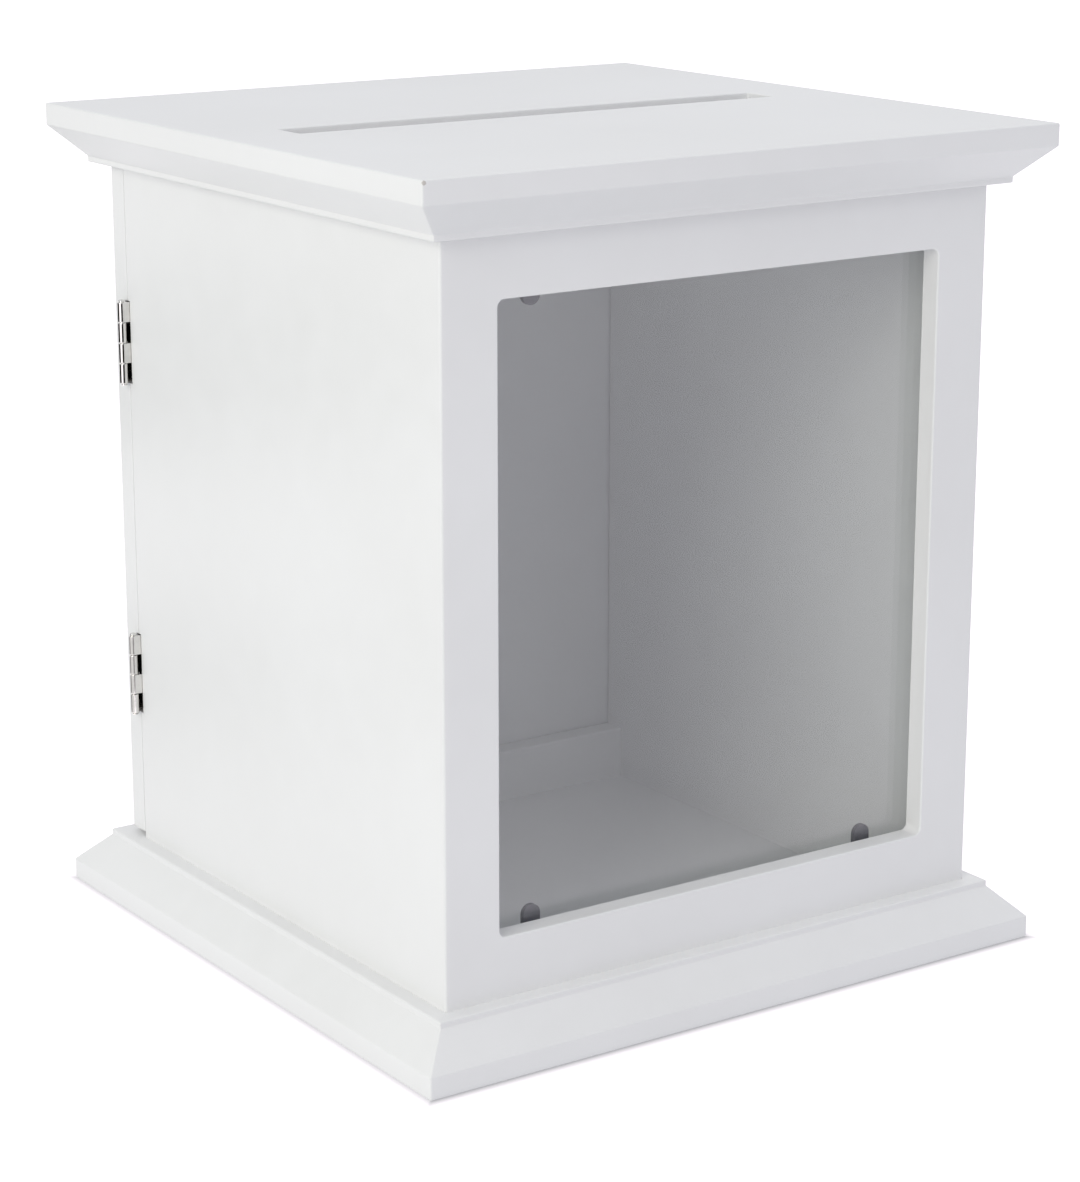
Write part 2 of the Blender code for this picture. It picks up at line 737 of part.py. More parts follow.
def build_lock_housing(door):
    """The threaded barrel with its bezel on the door, the nut behind, and the door's hole."""
    barrel_length = BEZEL_FACE_Y - BARREL_END_Y
    bezel_back = BEZEL_FACE_Y - LOCK_BEZEL_THICKNESS
    rim = LOCK_BEZEL_THICKNESS * BEZEL_RIM_SHARE
    profile = [
        (LOCK_BARREL_RADIUS, 0.0),
        (LOCK_BARREL_RADIUS, bezel_back - BARREL_END_Y),
        (LOCK_BEZEL_RADIUS, bezel_back - BARREL_END_Y),
        (LOCK_BEZEL_RADIUS, barrel_length - rim),
        (LOCK_BEZEL_RADIUS - rim, barrel_length),
    ]
    foot = (0.0, BARREL_END_Y, LOCK_Z)
    housing = turned("lock_housing", profile, foot, (0, 1, 0), ROUND_SIDES, BRIGHT_NICKEL)
    bore = prism(
        "lock_bore_cutter",
        circle((0.0, LOCK_Z), LOCK_BORE_RADIUS, ROUND_SIDES),
        BARREL_END_Y - CUT_OVERRUN,
        BEZEL_FACE_Y + CUT_OVERRUN,
        "Y",
    )
    subtract(housing, bore)
    hole = prism(
        "lock_door_cutter",
        circle((0.0, LOCK_Z), LOCK_BARREL_RADIUS + SEAT_GAP, ROUND_SIDES),
        DOOR_INNER_Y - CUT_OVERRUN,
        DOOR_OUTER_Y + CUT_OVERRUN,
        "Y",
    )
    subtract(door, hole)
    nut_outer = DOOR_INNER_Y - SEAT_GAP
    nut = prism(
        "lock_nut",
        circle((0.0, LOCK_Z), NUT_CORNER_RADIUS, 6),
        nut_outer - LOCK_NUT_THICKNESS,
        nut_outer,
        "Y",
        ZINC_STEEL,
    )
    nut_bore = prism(
        "lock_nut_cutter",
        circle((0.0, LOCK_Z), LOCK_BARREL_RADIUS + SEAT_GAP, ROUND_SIDES),
        nut_outer - LOCK_NUT_THICKNESS - CUT_OVERRUN,
        nut_outer + CUT_OVERRUN,
        "Y",
    )
    subtract(nut, nut_bore)


def build_lock_plug():
    """The turning plug with its keyway and its square tail."""
    plug = turned(
        "lock_plug",
        [(PLUG_RADIUS, 0.0), (PLUG_RADIUS, PLUG_FACE_Y - PLUG_SHOULDER_Y)],
        (0.0, PLUG_SHOULDER_Y, LOCK_Z),
        (0, 1, 0),
        ROUND_SIDES,
        BRIGHT_NICKEL,
    )
    half = PLUG_TAIL_WIDTH / 2
    tail = box(
        "plug_tail",
        (-half, CAM_INNER_Y, LOCK_Z - half),
        (half, PLUG_SHOULDER_Y + PLUG_TAIL_WIDTH / 2, LOCK_Z + half),
    )
    unite(plug, tail)
    keyway_half_x = KEY_BLADE_HEIGHT / 2 + SEAT_GAP
    keyway_half_z = KEY_THICKNESS / 2 + SEAT_GAP
    keyway_floor = PLUG_FACE_Y - KEY_BLADE_LENGTH - SEAT_GAP
    keyway = box(
        "keyway_cutter",
        (-keyway_half_x, keyway_floor, LOCK_Z - keyway_half_z),
        (keyway_half_x, PLUG_FACE_Y + CUT_OVERRUN, LOCK_Z + keyway_half_z),
    )
    subtract(plug, keyway)
    return plug


def build_cam(plug):
    """The cam on the plug's tail, drawn unlocked, and the screw that holds it."""
    half = CAM_WIDTH / 2
    tip = (CAM_REACH - half, LOCK_Z)
    outline = arc(tip, half, -90, 90, 10) + arc((0.0, LOCK_Z), half, 90, 270, 10)
    cam = prism("lock_cam", outline, CAM_INNER_Y, CAM_OUTER_Y, "Y", ZINC_STEEL, True)
    hole_half = PLUG_TAIL_WIDTH / 2 + SEAT_GAP
    square = box(
        "cam_square_cutter",
        (-hole_half, CAM_INNER_Y - CUT_OVERRUN, LOCK_Z - hole_half),
        (hole_half, CAM_OUTER_Y + CUT_OVERRUN, LOCK_Z + hole_half),
    )
    subtract(cam, square)
    seat = Vector((0.0, CAM_INNER_Y - SEAT_GAP, LOCK_Z))
    axis = (0, -1, 0)
    sizes = (CAM_SCREW_HEAD_RADIUS, CAM_SCREW_HEAD_HEIGHT, CAM_SCREW_RADIUS, CAM_SCREW_LENGTH)
    hole = turned(
        "cam_screw_hole", pan_profile(*sizes, SEAT_GAP), seat, axis, SMALL_ROUND_SIDES
    )
    subtract(plug, hole)
    screw = turned(
        "lock_cam_screw", pan_profile(*sizes, 0.0), seat, axis, SMALL_ROUND_SIDES, ZINC_STEEL
    )
    crown = seat - Vector((0, CAM_SCREW_HEAD_HEIGHT, 0))
    recess_head(screw, crown, axis, CAM_SCREW_HEAD_RADIUS, CAM_SCREW_HEAD_HEIGHT)


def build_key():
    """The key in the plug: a cut blade, a neck and a round bow with a hole."""
    shoulder = PLUG_FACE_Y + KEY_SHOULDER_GAP
    tip = PLUG_FACE_Y - KEY_BLADE_LENGTH
    half = KEY_BLADE_HEIGHT / 2
    bow_middle = shoulder + KEY_NECK_LENGTH + KEY_BOW_RADIUS
    shank = [(half, shoulder), (half, bow_middle), (-half, bow_middle), (-half, shoulder)]
    cut_pitch = (shoulder - tip) / (2 * KEY_CUT_COUNT + 1)
    blade = [(-half, tip), (0.0, tip)]
    for cut in range(KEY_CUT_COUNT):
        start = tip + cut_pitch * (2 * cut + 1)
        blade += [(half, start), (half - KEY_CUT_DEPTH, start + cut_pitch / 2)]
        blade.append((half, start + cut_pitch))
    outline = blade + shank
    key = prism(
        "door_key",
        outline,
        LOCK_Z - KEY_THICKNESS / 2,
        LOCK_Z + KEY_THICKNESS / 2,
        "Z",
        BRIGHT_NICKEL,
    )
    bow = prism(
        "key_bow",
        circle((0.0, bow_middle), KEY_BOW_RADIUS, ROUND_SIDES),
        LOCK_Z - KEY_THICKNESS / 2,
        LOCK_Z + KEY_THICKNESS / 2,
        "Z",
    )
    unite(key, bow)
    ring_hole = prism(
        "key_ring_cutter",
        circle((0.0, bow_middle + KEY_BOW_RADIUS / 3), KEY_HOLE_RADIUS, SMALL_ROUND_SIDES),
        LOCK_Z - CUT_OVERRUN,
        LOCK_Z + CUT_OVERRUN,
        "Z",
    )
    subtract(key, ring_hole)


def build_lock(door):
    """The whole cam lock, in the middle of the door under the top rail."""
    build_lock_housing(door)
    plug = build_lock_plug()
    build_cam(plug)
    build_key()


def move_origins():
    """Puts the origins of the moving pieces on the axes they move about."""
    hinge_line = (HINGE_X, SEAM_Y, DOOR_MIDDLE_Z)
    lock_line = (0.0, PLUG_FACE_Y, LOCK_Z)
    for item in bpy.context.scene.objects:
        turns_with_door = item.name == "rear_door" or item.name.endswith("door_leaf")
        if turns_with_door or item.name.endswith("_pin"):
            set_origin(item, hinge_line)
        elif item.name in ("lock_plug", "lock_cam", "lock_cam_screw", "door_key"):
            set_origin(item, lock_line)


def main():
    """Builds the box from its boards to its key."""
    clear_scene()
    build_boards()
    front_panel = build_front_panel()
    sides = build_side_panels()
    build_rails()
    build_mouldings()
    build_pane_clips(front_panel)
    door = build_door()
    build_hinges(door, sides["left_side_panel"])
    build_lock(door)
    move_origins()


main()
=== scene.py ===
"""The tithe box, dressed: painted boards, clear window, butt hinges, cam lock and studio."""
import logging
import math
from dataclasses import dataclass, replace
from enum import Enum

import bmesh
import bpy
import numpy as np
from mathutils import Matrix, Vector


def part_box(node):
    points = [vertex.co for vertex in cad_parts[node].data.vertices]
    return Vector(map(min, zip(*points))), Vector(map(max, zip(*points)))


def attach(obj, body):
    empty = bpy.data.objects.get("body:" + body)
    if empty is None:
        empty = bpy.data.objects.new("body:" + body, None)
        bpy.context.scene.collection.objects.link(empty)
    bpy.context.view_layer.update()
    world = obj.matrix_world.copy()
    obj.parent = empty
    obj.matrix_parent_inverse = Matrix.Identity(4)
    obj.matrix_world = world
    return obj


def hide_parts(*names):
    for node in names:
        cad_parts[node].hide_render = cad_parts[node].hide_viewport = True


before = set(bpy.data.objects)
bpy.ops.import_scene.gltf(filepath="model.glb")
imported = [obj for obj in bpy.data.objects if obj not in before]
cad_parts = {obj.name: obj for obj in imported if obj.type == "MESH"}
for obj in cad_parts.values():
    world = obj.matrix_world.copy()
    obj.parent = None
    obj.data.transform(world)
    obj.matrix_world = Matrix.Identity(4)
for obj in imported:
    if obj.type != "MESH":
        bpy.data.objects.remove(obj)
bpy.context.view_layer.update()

Pair = tuple[float, float]
Triple = tuple[float, float, float]
Colour = tuple[float, float, float, float]

LOG = logging.getLogger("tithe_box")

# In metres: how near points are welded, a step too fine to see, half of a glued joint, and how
# far a ring of points stands off beside a round.
WELD = 1e-6
HAIR = 1e-5
SEAM_HALF = 0.00015
SUPPORT = 0.0008
FINE_SUPPORT = 0.0004

# In degrees: edges that turn by more stay sharp, and faces that turn by less become one.
CREASE = 34.0
FLAT = 0.5

# Between these two lies nearly all of an even noise about one half.
NOISE_ENDS = (0.3, 0.7)


class Axis(Enum):
    """Where a drawing's three directions go: its two flat ones and the one it is carried along."""

    X = (1, 2, 0)
    Y = (0, 2, 1)
    Z = (0, 1, 2)

    def place(self, drawn: np.ndarray) -> np.ndarray:
        """Carry drawn points into the box's own directions.

        Args:
            drawn: points as (flat, flat, along) in the last dimension.

        Returns:
            The same points as (x, y, z).
        """
        placed = np.empty_like(drawn)
        placed[..., list(self.value)] = drawn
        return placed


class Side(Enum):
    """The four sides of the box, in quarter turns from the front."""

    FRONT = 0
    RIGHT = 1
    BACK = 2
    LEFT = 3

    def turn(self, grid: np.ndarray) -> np.ndarray:
        """Turn points from the front to this side, by the angle a.

        They go to (x cos a - y sin a, x sin a + y cos a), and keep their height.

        Args:
            grid: the points, in the last dimension.

        Returns:
            The turned points.
        """
        angle = self.value * math.pi / 2
        x = grid[..., 0] * math.cos(angle) - grid[..., 1] * math.sin(angle)
        y = grid[..., 0] * math.sin(angle) + grid[..., 1] * math.cos(angle)
        return np.stack([x, y, grid[..., 2]], axis=-1)


class Body(Enum):
    """The parts that move as one."""

    CARCASS = "carcass"
    DOOR = "door"
    PLUG = "plug"
    KEY = "key"


class Wing(Enum):
    """The two leaves of a hinge: the way each lies from the pin, and what it moves with."""

    BODY = (-1, Body.CARCASS)
    DOOR = (1, Body.DOOR)

    @property
    def side(self) -> int:
        """Minus one where the leaf lies towards the body, plus one towards the door."""
        return self.value[0]

    @property
    def body(self) -> Body:
        """What the leaf moves with."""
        return self.value[1]


class Ray(Enum):
    """The kinds of ray that a piece of the studio can be hidden from."""

    CAMERA = "visible_camera"
    DIFFUSE = "visible_diffuse"
    SHADOW = "visible_shadow"
    TRANSMISSION = "visible_transmission"


# Shader expressions


@dataclass(frozen=True)
class Signal:
    """An output socket that takes part in arithmetic on single values."""

    graph: "Graph"
    socket: bpy.types.NodeSocket

    def __add__(self, other: object) -> "Signal":
        """The sum with a value or signal."""
        return self.graph.reckon("ADD", self, other)

    def __radd__(self, other: object) -> "Signal":
        """The sum, signal on the right."""
        return self.graph.reckon("ADD", other, self)

    def __sub__(self, other: object) -> "Signal":
        """The difference with a value or signal."""
        return self.graph.reckon("SUBTRACT", self, other)

    def __rsub__(self, other: object) -> "Signal":
        """The difference, signal on the right."""
        return self.graph.reckon("SUBTRACT", other, self)

    def __mul__(self, other: object) -> "Signal":
        """The product with a value or signal."""
        return self.graph.reckon("MULTIPLY", self, other)

    def __rmul__(self, other: object) -> "Signal":
        """The product, signal on the right."""
        return self.graph.reckon("MULTIPLY", other, self)


@dataclass(frozen=True)
class Noise:
    """One kind of noise: bumps to the metre, finer layers, and how strong these layers are."""

    scale: float
    detail: float
    roughness: float = 0.5


class Graph:
    """The node tree of one material or world, written from Python."""

    def __init__(self, tree: bpy.types.NodeTree) -> None:
        """Empty the tree that is written."""
        self.tree = tree
        tree.nodes.clear()

    @staticmethod
    def find(sockets: bpy.types.bpy_prop_collection, key: object) -> bpy.types.NodeSocket:
        """Look a socket up.

        Args:
            sockets: a node's inputs or outputs.
            key: its number, its identifier or its name.

        Returns:
            The socket.
        """
        if isinstance(key, str):
            for socket in sockets:
                if socket.identifier == key:
                    return socket
        return sockets[key]

    def node(
        self,
        kind: str,
        settings: dict[str, object],
        inputs: dict[object, object],
        output: object = 0,
    ) -> Signal:
        """Add one node.

        Args:
            kind: the node's type name.
            settings: its properties, set before the sockets.
            inputs: values or signals for its input sockets.
            output: the output socket that is handed back.

        Returns:
            The named output as a signal.
        """
        made = self.tree.nodes.new(kind)
        for name, value in settings.items():
            setattr(made, name, value)
        for key, value in inputs.items():
            socket = self.find(made.inputs, key)
            if isinstance(value, Signal):
                self.tree.links.new(value.socket, socket)
            else:
                socket.default_value = value
        return Signal(self, self.find(made.outputs, output) if made.outputs else None)

    def reckon(self, operation: str, first: object, second: object = 0.0) -> Signal:
        """One Math node on two values."""
        return self.node("ShaderNodeMath", {"operation": operation}, {0: first, 1: second})

    def vector(self, operation: str, first: object, second: object, output: object = 0) -> Signal:
        """One Vector Math node on two vectors."""
        inputs = {0: first, 1: second}
        return self.node("ShaderNodeVectorMath", {"operation": operation}, inputs, output)

    def place(self) -> Signal:
        """Object coordinates, in metres, since each piece stands at the origin."""
        return self.node("ShaderNodeTexCoord", {}, {}, "Object")

    def noise(self, place: Signal, kind: Noise) -> Signal:
        """Add even noise about one half.

        Args:
            place: the coordinates.
            kind: how coarse and how rough it is.

        Returns:
            The noise's value.
        """
        inputs = {
            "Vector": place,
            "Scale": kind.scale,
            "Detail": kind.detail,
            "Roughness": kind.roughness,
        }
        return self.node("ShaderNodeTexNoise", {"noise_dimensions": "3D"}, inputs, "Fac")

    def span(self, value: Signal, given: Pair, wanted: Pair = (0.0, 1.0)) -> Signal:
        """Map one range onto another, evenly, and hold it at both ends.

        Args:
            value: what is mapped.
            given: where the value's range starts and ends.
            wanted: what these two become.

        Returns:
            The mapped value.
        """
        low, high = given
        start, end = wanted
        inputs = {"Value": value, "From Min": low, "From Max": high, "To Min": start, "To Max": end}
        return self.node("ShaderNodeMapRange", {"clamp": True}, inputs)

    def blend(self, share: Signal, first: object, second: object) -> Signal:
        """Mix two colours by a share."""
        inputs = {"Factor_Float": share, "A_Color": first, "B_Color": second}
        return self.node("ShaderNodeMix", {"data_type": "RGBA"}, inputs, "Result_Color")

    def bump(self, height: Signal, depth: float, strength: float) -> Signal:
        """A bumped normal from a height of nought to one and its real depth in metres."""
        inputs = {"Height": height, "Distance": depth, "Strength": strength}
        return self.node("ShaderNodeBump", {}, inputs)

    def end(self, shader: Signal) -> None:
        """End the tree with this shader."""
        self.node("ShaderNodeOutputMaterial", {}, {"Surface": shader})

    def dress(self, inputs: dict[object, object]) -> None:
        """End the tree with the standard surface, from its inputs."""
        self.end(self.node("ShaderNodeBsdfPrincipled", {}, inputs))


# Finishes


@dataclass(frozen=True)
class Finish:
    """A finish that is made once and then shared by its pieces."""

    name: str
    slot: str

    def material(self) -> bpy.types.Material:
        """Hand out the finish's material, made at the first call.

        Returns:
            The material.
        """
        made = bpy.data.materials.get(self.name)
        if made is None:
            made = bpy.data.materials.new(self.name)
            made.use_nodes = True
            self.shade(Graph(made.node_tree))
        return made

    def shade(self, graph: Graph) -> None:
        """Write the material's nodes."""
        raise NotImplementedError


@dataclass(frozen=True)
class Lacquer(Finish):
    """Satin white lacquer, sprayed: faint orange peel, slow waves, and a slightly uneven tint.

    The tint goes from deep to light with 0.7 cloud + 0.3 patch, the roughness swings about its
    mean with 0.75 patch + 0.25 peel, and the height is 0.04 peel + 0.96 wave. A chip bares the
    filler where the distance from it, plus some ragged noise, is below its radius.
    """

    light: Colour = (0.815, 0.815, 0.815, 1.0)
    deep: Colour = (0.790, 0.789, 0.787, 1.0)
    bare: Colour = (0.56, 0.53, 0.50, 1.0)
    roughness: float = 0.40
    swing: float = 0.045
    depth: float = 0.00010
    strength: float = 0.07
    cloud: Noise = Noise(7.0, 2.0)
    patch: Noise = Noise(55.0, 3.0)
    peel: Noise = Noise(650.0, 1.0, 0.4)
    wave: Noise = Noise(34.0, 1.0, 0.3)
    ragged: Noise = Noise(1400.0, 2.0)
    mixed_ends: Pair = (0.36, 0.64)
    ior: float = 1.47
    chip: Triple | None = None
    chip_radius: float = 0.0012
    chip_rag: float = 0.0007
    chip_fade: float = 0.0002
    chip_rough: float = 0.35
    chip_sink: float = 0.5

    def shade(self, graph: Graph) -> None:
        """Write the lacquer.

        Args:
            graph: takes the nodes.
        """
        place = graph.place()
        patch = graph.noise(place, self.patch)
        peel = graph.noise(place, self.peel)
        mixed = graph.noise(place, self.cloud) * 0.7 + patch * 0.3
        tint = graph.blend(graph.span(mixed, self.mixed_ends), self.deep, self.light)
        ends = (self.roughness - self.swing, self.roughness + self.swing)
        rough = graph.span(patch * 0.75 + peel * 0.25, NOISE_ENDS, ends)
        height = peel * 0.04 + graph.noise(place, self.wave) * 0.96
        if self.chip is not None:
            away = graph.vector("DISTANCE", place, self.chip, "Value")
            away = away + graph.noise(place, self.ragged) * self.chip_rag
            rim = (self.chip_radius, self.chip_radius + self.chip_fade)
            bare = graph.span(away, rim, (1.0, 0.0))
            tint = graph.blend(bare, tint, self.bare)
            rough = rough + bare * self.chip_rough
            height = height - bare * self.chip_sink
        graph.dress({
            "Base Color": tint,
            "Roughness": rough,
            "Normal": graph.bump(height, self.depth, self.strength),
            "IOR": self.ior,
        })


@dataclass(frozen=True)
class ClearSheet(Finish):
    """Clear polished sheet: seen through square on, and glossier at a slant.

    The share that it throws back is 0.042 + 0.96 (1 - cos a) to the fifth, for a ray at an angle
    a to the surface's normal, the same from both sides, so that no light is shut in. Faint wiping
    marks change its gloss.
    """

    clear: Colour = (0.972, 0.978, 0.978, 1.0)
    gloss: Colour = (0.95, 0.96, 0.97, 1.0)
    roughness: Pair = (0.015, 0.075)
    square_on: float = 0.042
    slanted: float = 0.96
    power: float = 5.0
    wiped: Pair = (0.94, 1.0)
    wipe: Noise = Noise(26.0, 3.0, 0.6)
    wipe_ends: Pair = (0.35, 0.7)

    def shade(self, graph: Graph) -> None:
        """Write the sheet: transparent and glossy, mixed by the share it throws back.

        Args:
            graph: takes the nodes.
        """
        wipe = graph.noise(graph.place(), self.wipe)
        rough = graph.span(wipe, self.wipe_ends, self.roughness)
        facing = graph.node("ShaderNodeLayerWeight", {}, {"Blend": 0.5}, "Facing")
        thrown = self.square_on + self.slanted * graph.reckon("POWER", facing, self.power)
        share = thrown * graph.span(wipe, NOISE_ENDS, self.wiped)
        through = graph.node("ShaderNodeBsdfTransparent", {}, {"Color": self.clear})
        inputs = {"Color": self.gloss, "Roughness": rough}
        shine = graph.node("ShaderNodeBsdfAnisotropic", {}, inputs)
        graph.end(graph.node("ShaderNodeMixShader", {}, {0: share, 1: through, 2: shine}))


@dataclass(frozen=True)
class MouldedPlastic(Finish):
    """Dark grey moulded plastic: a fine eroded skin in bump and gloss, slow change in tint."""

    light: Colour = (0.120, 0.115, 0.136, 1.0)
    deep: Colour = (0.092, 0.088, 0.106, 1.0)
    roughness: Pair = (0.42, 0.58)
    depth: float = 0.00004
    strength: float = 0.35
    skin: Noise = Noise(4200.0, 2.0)
    cloud: Noise = Noise(140.0, 2.0)

    def shade(self, graph: Graph) -> None:
        """Write the plastic.

        Args:
            graph: takes the nodes.
        """
        place = graph.place()
        skin = graph.noise(place, self.skin)
        share = graph.span(graph.noise(place, self.cloud), NOISE_ENDS)
        graph.dress({
            "Base Color": graph.blend(share, self.deep, self.light),
            "Roughness": graph.span(skin, NOISE_ENDS, self.roughness),
            "Normal": graph.bump(skin, self.depth, self.strength),
        })


@dataclass(frozen=True)
class Plated(Finish):
    """Plated steel: a mirror for the hinges and lock, or a dull grey for nuts and screws.

    Fine lines run across the height. The tint goes from light to deep with the handling marks,
    and the roughness rises from gloss by spread with 0.4 lines + 0.6 marks.
    """

    light: Colour = (0.80, 0.79, 0.77, 1.0)
    deep: Colour = (0.70, 0.69, 0.67, 1.0)
    gloss: float = 0.04
    spread: float = 0.05
    depth: float = 0.00001
    strength: float = 0.3
    squeeze: Triple = (1.0, 1.0, 14.0)
    lines: Noise = Noise(900.0, 2.0)
    marks: Noise = Noise(210.0, 3.0, 0.6)
    marked_ends: Pair = (0.35, 0.7)

    def shade(self, graph: Graph) -> None:
        """Write the plate.

        Args:
            graph: takes the nodes.
        """
        place = graph.place()
        inputs = {"Vector": place, "Scale": self.squeeze}
        drawn = graph.node("ShaderNodeMapping", {"vector_type": "POINT"}, inputs)
        lines = graph.noise(drawn, self.lines)
        marks = graph.noise(place, self.marks)
        share = graph.span(marks, self.marked_ends)
        ends = (self.gloss, self.gloss + self.spread)
        graph.dress({
            "Base Color": graph.blend(share, self.light, self.deep),
            "Metallic": 1.0,
            "Roughness": graph.span(lines * 0.4 + marks * 0.6, NOISE_ENDS, ends),
            "Normal": graph.bump(lines, self.depth, self.strength),
        })


@dataclass(frozen=True)
class ReflectionCard(Finish):
    """A card of the studio, of one even tone, which glows so that no light changes it.

    Only glossy rays see it: it is a painted reflection in the hinges' plate.
    """

    tone: Colour = (0.004, 0.003, 0.003, 1.0)

    def shade(self, graph: Graph) -> None:
        """Write the tone.

        Args:
            graph: takes the nodes.
        """
        graph.dress({
            "Base Color": (0.0, 0.0, 0.0, 1.0),
            "Specular IOR Level": 0.0,
            "Roughness": 0.9,
            "Emission Color": self.tone,
            "Emission Strength": 1.0,
        })


@dataclass(frozen=True)
class FloorWhite(Finish):
    """The studio's floor, half lit and half glowing, so that it stays white beside the box.

    A painted contact shadow darkens the glow towards the box's foot: it
    loses depth (1 - d / reach) squared at the distance d, and more in front than at the sides.
    """

    foot: Pair = (0.0, 0.0)
    base: Colour = (0.42, 0.42, 0.43, 1.0)
    glow: Colour = (1.0, 0.94, 0.98, 1.0)
    # The glow's colour under the full painted contact shadow, at the box's foot.
    painted_shadow_colour: Colour = (0.0, 0.0, 0.0, 1.0)
    strength: float = 0.96
    roughness: float = 0.9
    specular: float = 0.1
    # How far the painted contact shadow reaches, how deep it is at the sides and in front, and the
    # width over which it turns from side to front.
    reach: float = 0.010
    side_shadow_depth: float = 0.60
    front_shadow_depth: float = 0.87
    turnover: float = 0.001

    def shade(self, graph: Graph) -> None:
        """Write the floor's paint, its glow and the painted contact shadow in the glow.

        Args:
            graph: takes the nodes.
        """
        place = graph.place()
        x = graph.node("ShaderNodeSeparateXYZ", {}, {"Vector": place}, "X")
        y = graph.node("ShaderNodeSeparateXYZ", {}, {"Vector": place}, "Y")
        beside = graph.reckon("ABSOLUTE", x) - self.foot[0]
        along = graph.reckon("ABSOLUTE", y) - self.foot[1]
        # Painted contact shadow: the glow darkens near the box's foot, more in front than at the
        # sides.
        near = graph.span(graph.reckon("MAXIMUM", beside, along), (0.0, self.reach), (1.0, 0.0))
        ahead = -self.foot[1] - y - beside
        ends = (self.side_shadow_depth, self.front_shadow_depth)
        painted_contact_shadow = near * near * graph.span(ahead, (-self.turnover, self.turnover), ends)
        graph.dress({
            "Base Color": self.base,
            "Roughness": self.roughness,
            "Specular IOR Level": self.specular,
            "Emission Color": graph.blend(painted_contact_shadow, self.glow, self.painted_shadow_colour),
            "Emission Strength": self.strength,
        })


PAINT = Lacquer("white_lacquer", "white_paint")
SHEET = ClearSheet("clear_polished_sheet", "clear_sheet")
PLASTIC = MouldedPlastic("dark_moulded_plastic", "grey_plastic")
NICKEL = Plated("polished_nickel", "bright_nickel")
ZINC = Plated(
    "zinc_plate",
    "zinc_steel",
    # """Stand up a card beside the hinges, seen in glossy surfaces and nowhere else: a painted
    # reflection.
    light=(0.62, 0.63, 0.65, 1.0),
    deep=(0.50, 0.51, 0.53, 1.0),
    gloss=0.28,
    spread=0.16,
    depth=0.00002,
)
# Tones of the painted reflections in the hinges' plate.
BLACK = ReflectionCard("black_card", "stage")
GREY = ReflectionCard("grey_card", "stage", tone=(0.36, 0.35, 0.36, 1.0))
PALE = ReflectionCard("pale_card", "stage", tone=(0.85, 0.84, 0.84, 1.0))


# Surfaces


@dataclass(frozen=True)
class Outline:
    """A closed outline of straight runs and round corners, drawn counter-clockwise."""

    corners: tuple[Pair, ...]
    radii: tuple[float, ...]
    steps: int = 5
    support: float = SUPPORT

    def ring(self, inset: float = 0.0) -> np.ndarray:
        """Work out the outline's points, drawn in by an inset.

        Each corner moves by inset times (n_in + n_out) / (1 + n_in . n_out), the mitre, and its
        radius loses the inset. A corner's points are its arc's centre plus the radius times n_in
        turned by a share of the corner's turn, with one support point on the run at each side.

        Args:
            inset: how far the outline is drawn in; below zero it is let out.

        Returns:
            The points, as an array of (u, v), steps + 3 to each corner.
        """
        corner = np.asarray(self.corners, float)
        given = np.asarray(self.radii, float)
        run = np.roll(corner, -1, axis=0) - corner
        run = run / np.linalg.norm(run, axis=1, keepdims=True)
        come = np.roll(run, 1, axis=0)
        n_in = np.stack([come[:, 1], -come[:, 0]], axis=1)
        n_out = np.stack([run[:, 1], -run[:, 0]], axis=1)
        turn = np.arctan2(come[:, 0] * run[:, 1] - come[:, 1] * run[:, 0], (come * run).sum(axis=1))
        side = np.where(turn < 0, -1.0, 1.0)
        moved = corner - inset * (n_in + n_out) / (1 + (n_in * n_out).sum(axis=1))[:, None]
        radius = np.where(given > 0, np.maximum(given - side * inset, 0.0), 0.0)
        reach = radius * np.tan(np.abs(turn) / 2)
        centre = moved - reach[:, None] * come - (side * radius)[:, None] * n_in
        angle = turn[:, None] * np.linspace(0.0, 1.0, self.steps + 1)
        cosine, sine = np.cos(angle), np.sin(angle)
        u, v = n_in[:, :1], n_in[:, 1:]
        turned = np.stack([u * cosine - v * sine, u * sine + v * cosine], axis=2)
        arc = centre[:, None] + (side * radius)[:, None, None] * turned
        spare = np.where(given > 0, self.support, 0.0)[:, None, None]
        before = arc[:, :1] - spare * come[:, None]
        after = arc[:, -1:] + spare * run[:, None]
        return np.concatenate([before, arc, after], axis=1).reshape(-1, 2)


def rectangle(low: Pair, high: Pair, radius: float | tuple[float, ...], **kind: object) -> Outline:
    """Draw a rectangle with round corners.

    Args:
        low: its lowest corner.
        high: its highest corner.
        radius: one radius, or four from the lowest corner round.
        kind: steps and support of the outline.

    Returns:
        The outline.
    """
    corners = (low, (high[0], low[1]), high, (low[0], high[1]))
    radii = radius if isinstance(radius, tuple) else (radius,) * 4
    return Outline(corners, radii, **kind)


def circle(radius: float, angle: np.ndarray) -> np.ndarray:
    """The points (r cos a, r sin a) of a circle about the origin."""
    return radius * np.stack([np.cos(angle), np.sin(angle)], axis=-1)


def at_level(flat: np.ndarray, level: float) -> np.ndarray:
    """Flat points with one level as their third value."""
    return np.insert(flat, 2, level, axis=-1)


def stacked(rings: list[tuple[Outline, float, float]]) -> np.ndarray:
    """A grid from each ring's outline, its inset and its level, which is the third value."""
    return np.stack([at_level(line.ring(inset), level) for line, inset, level in rings])


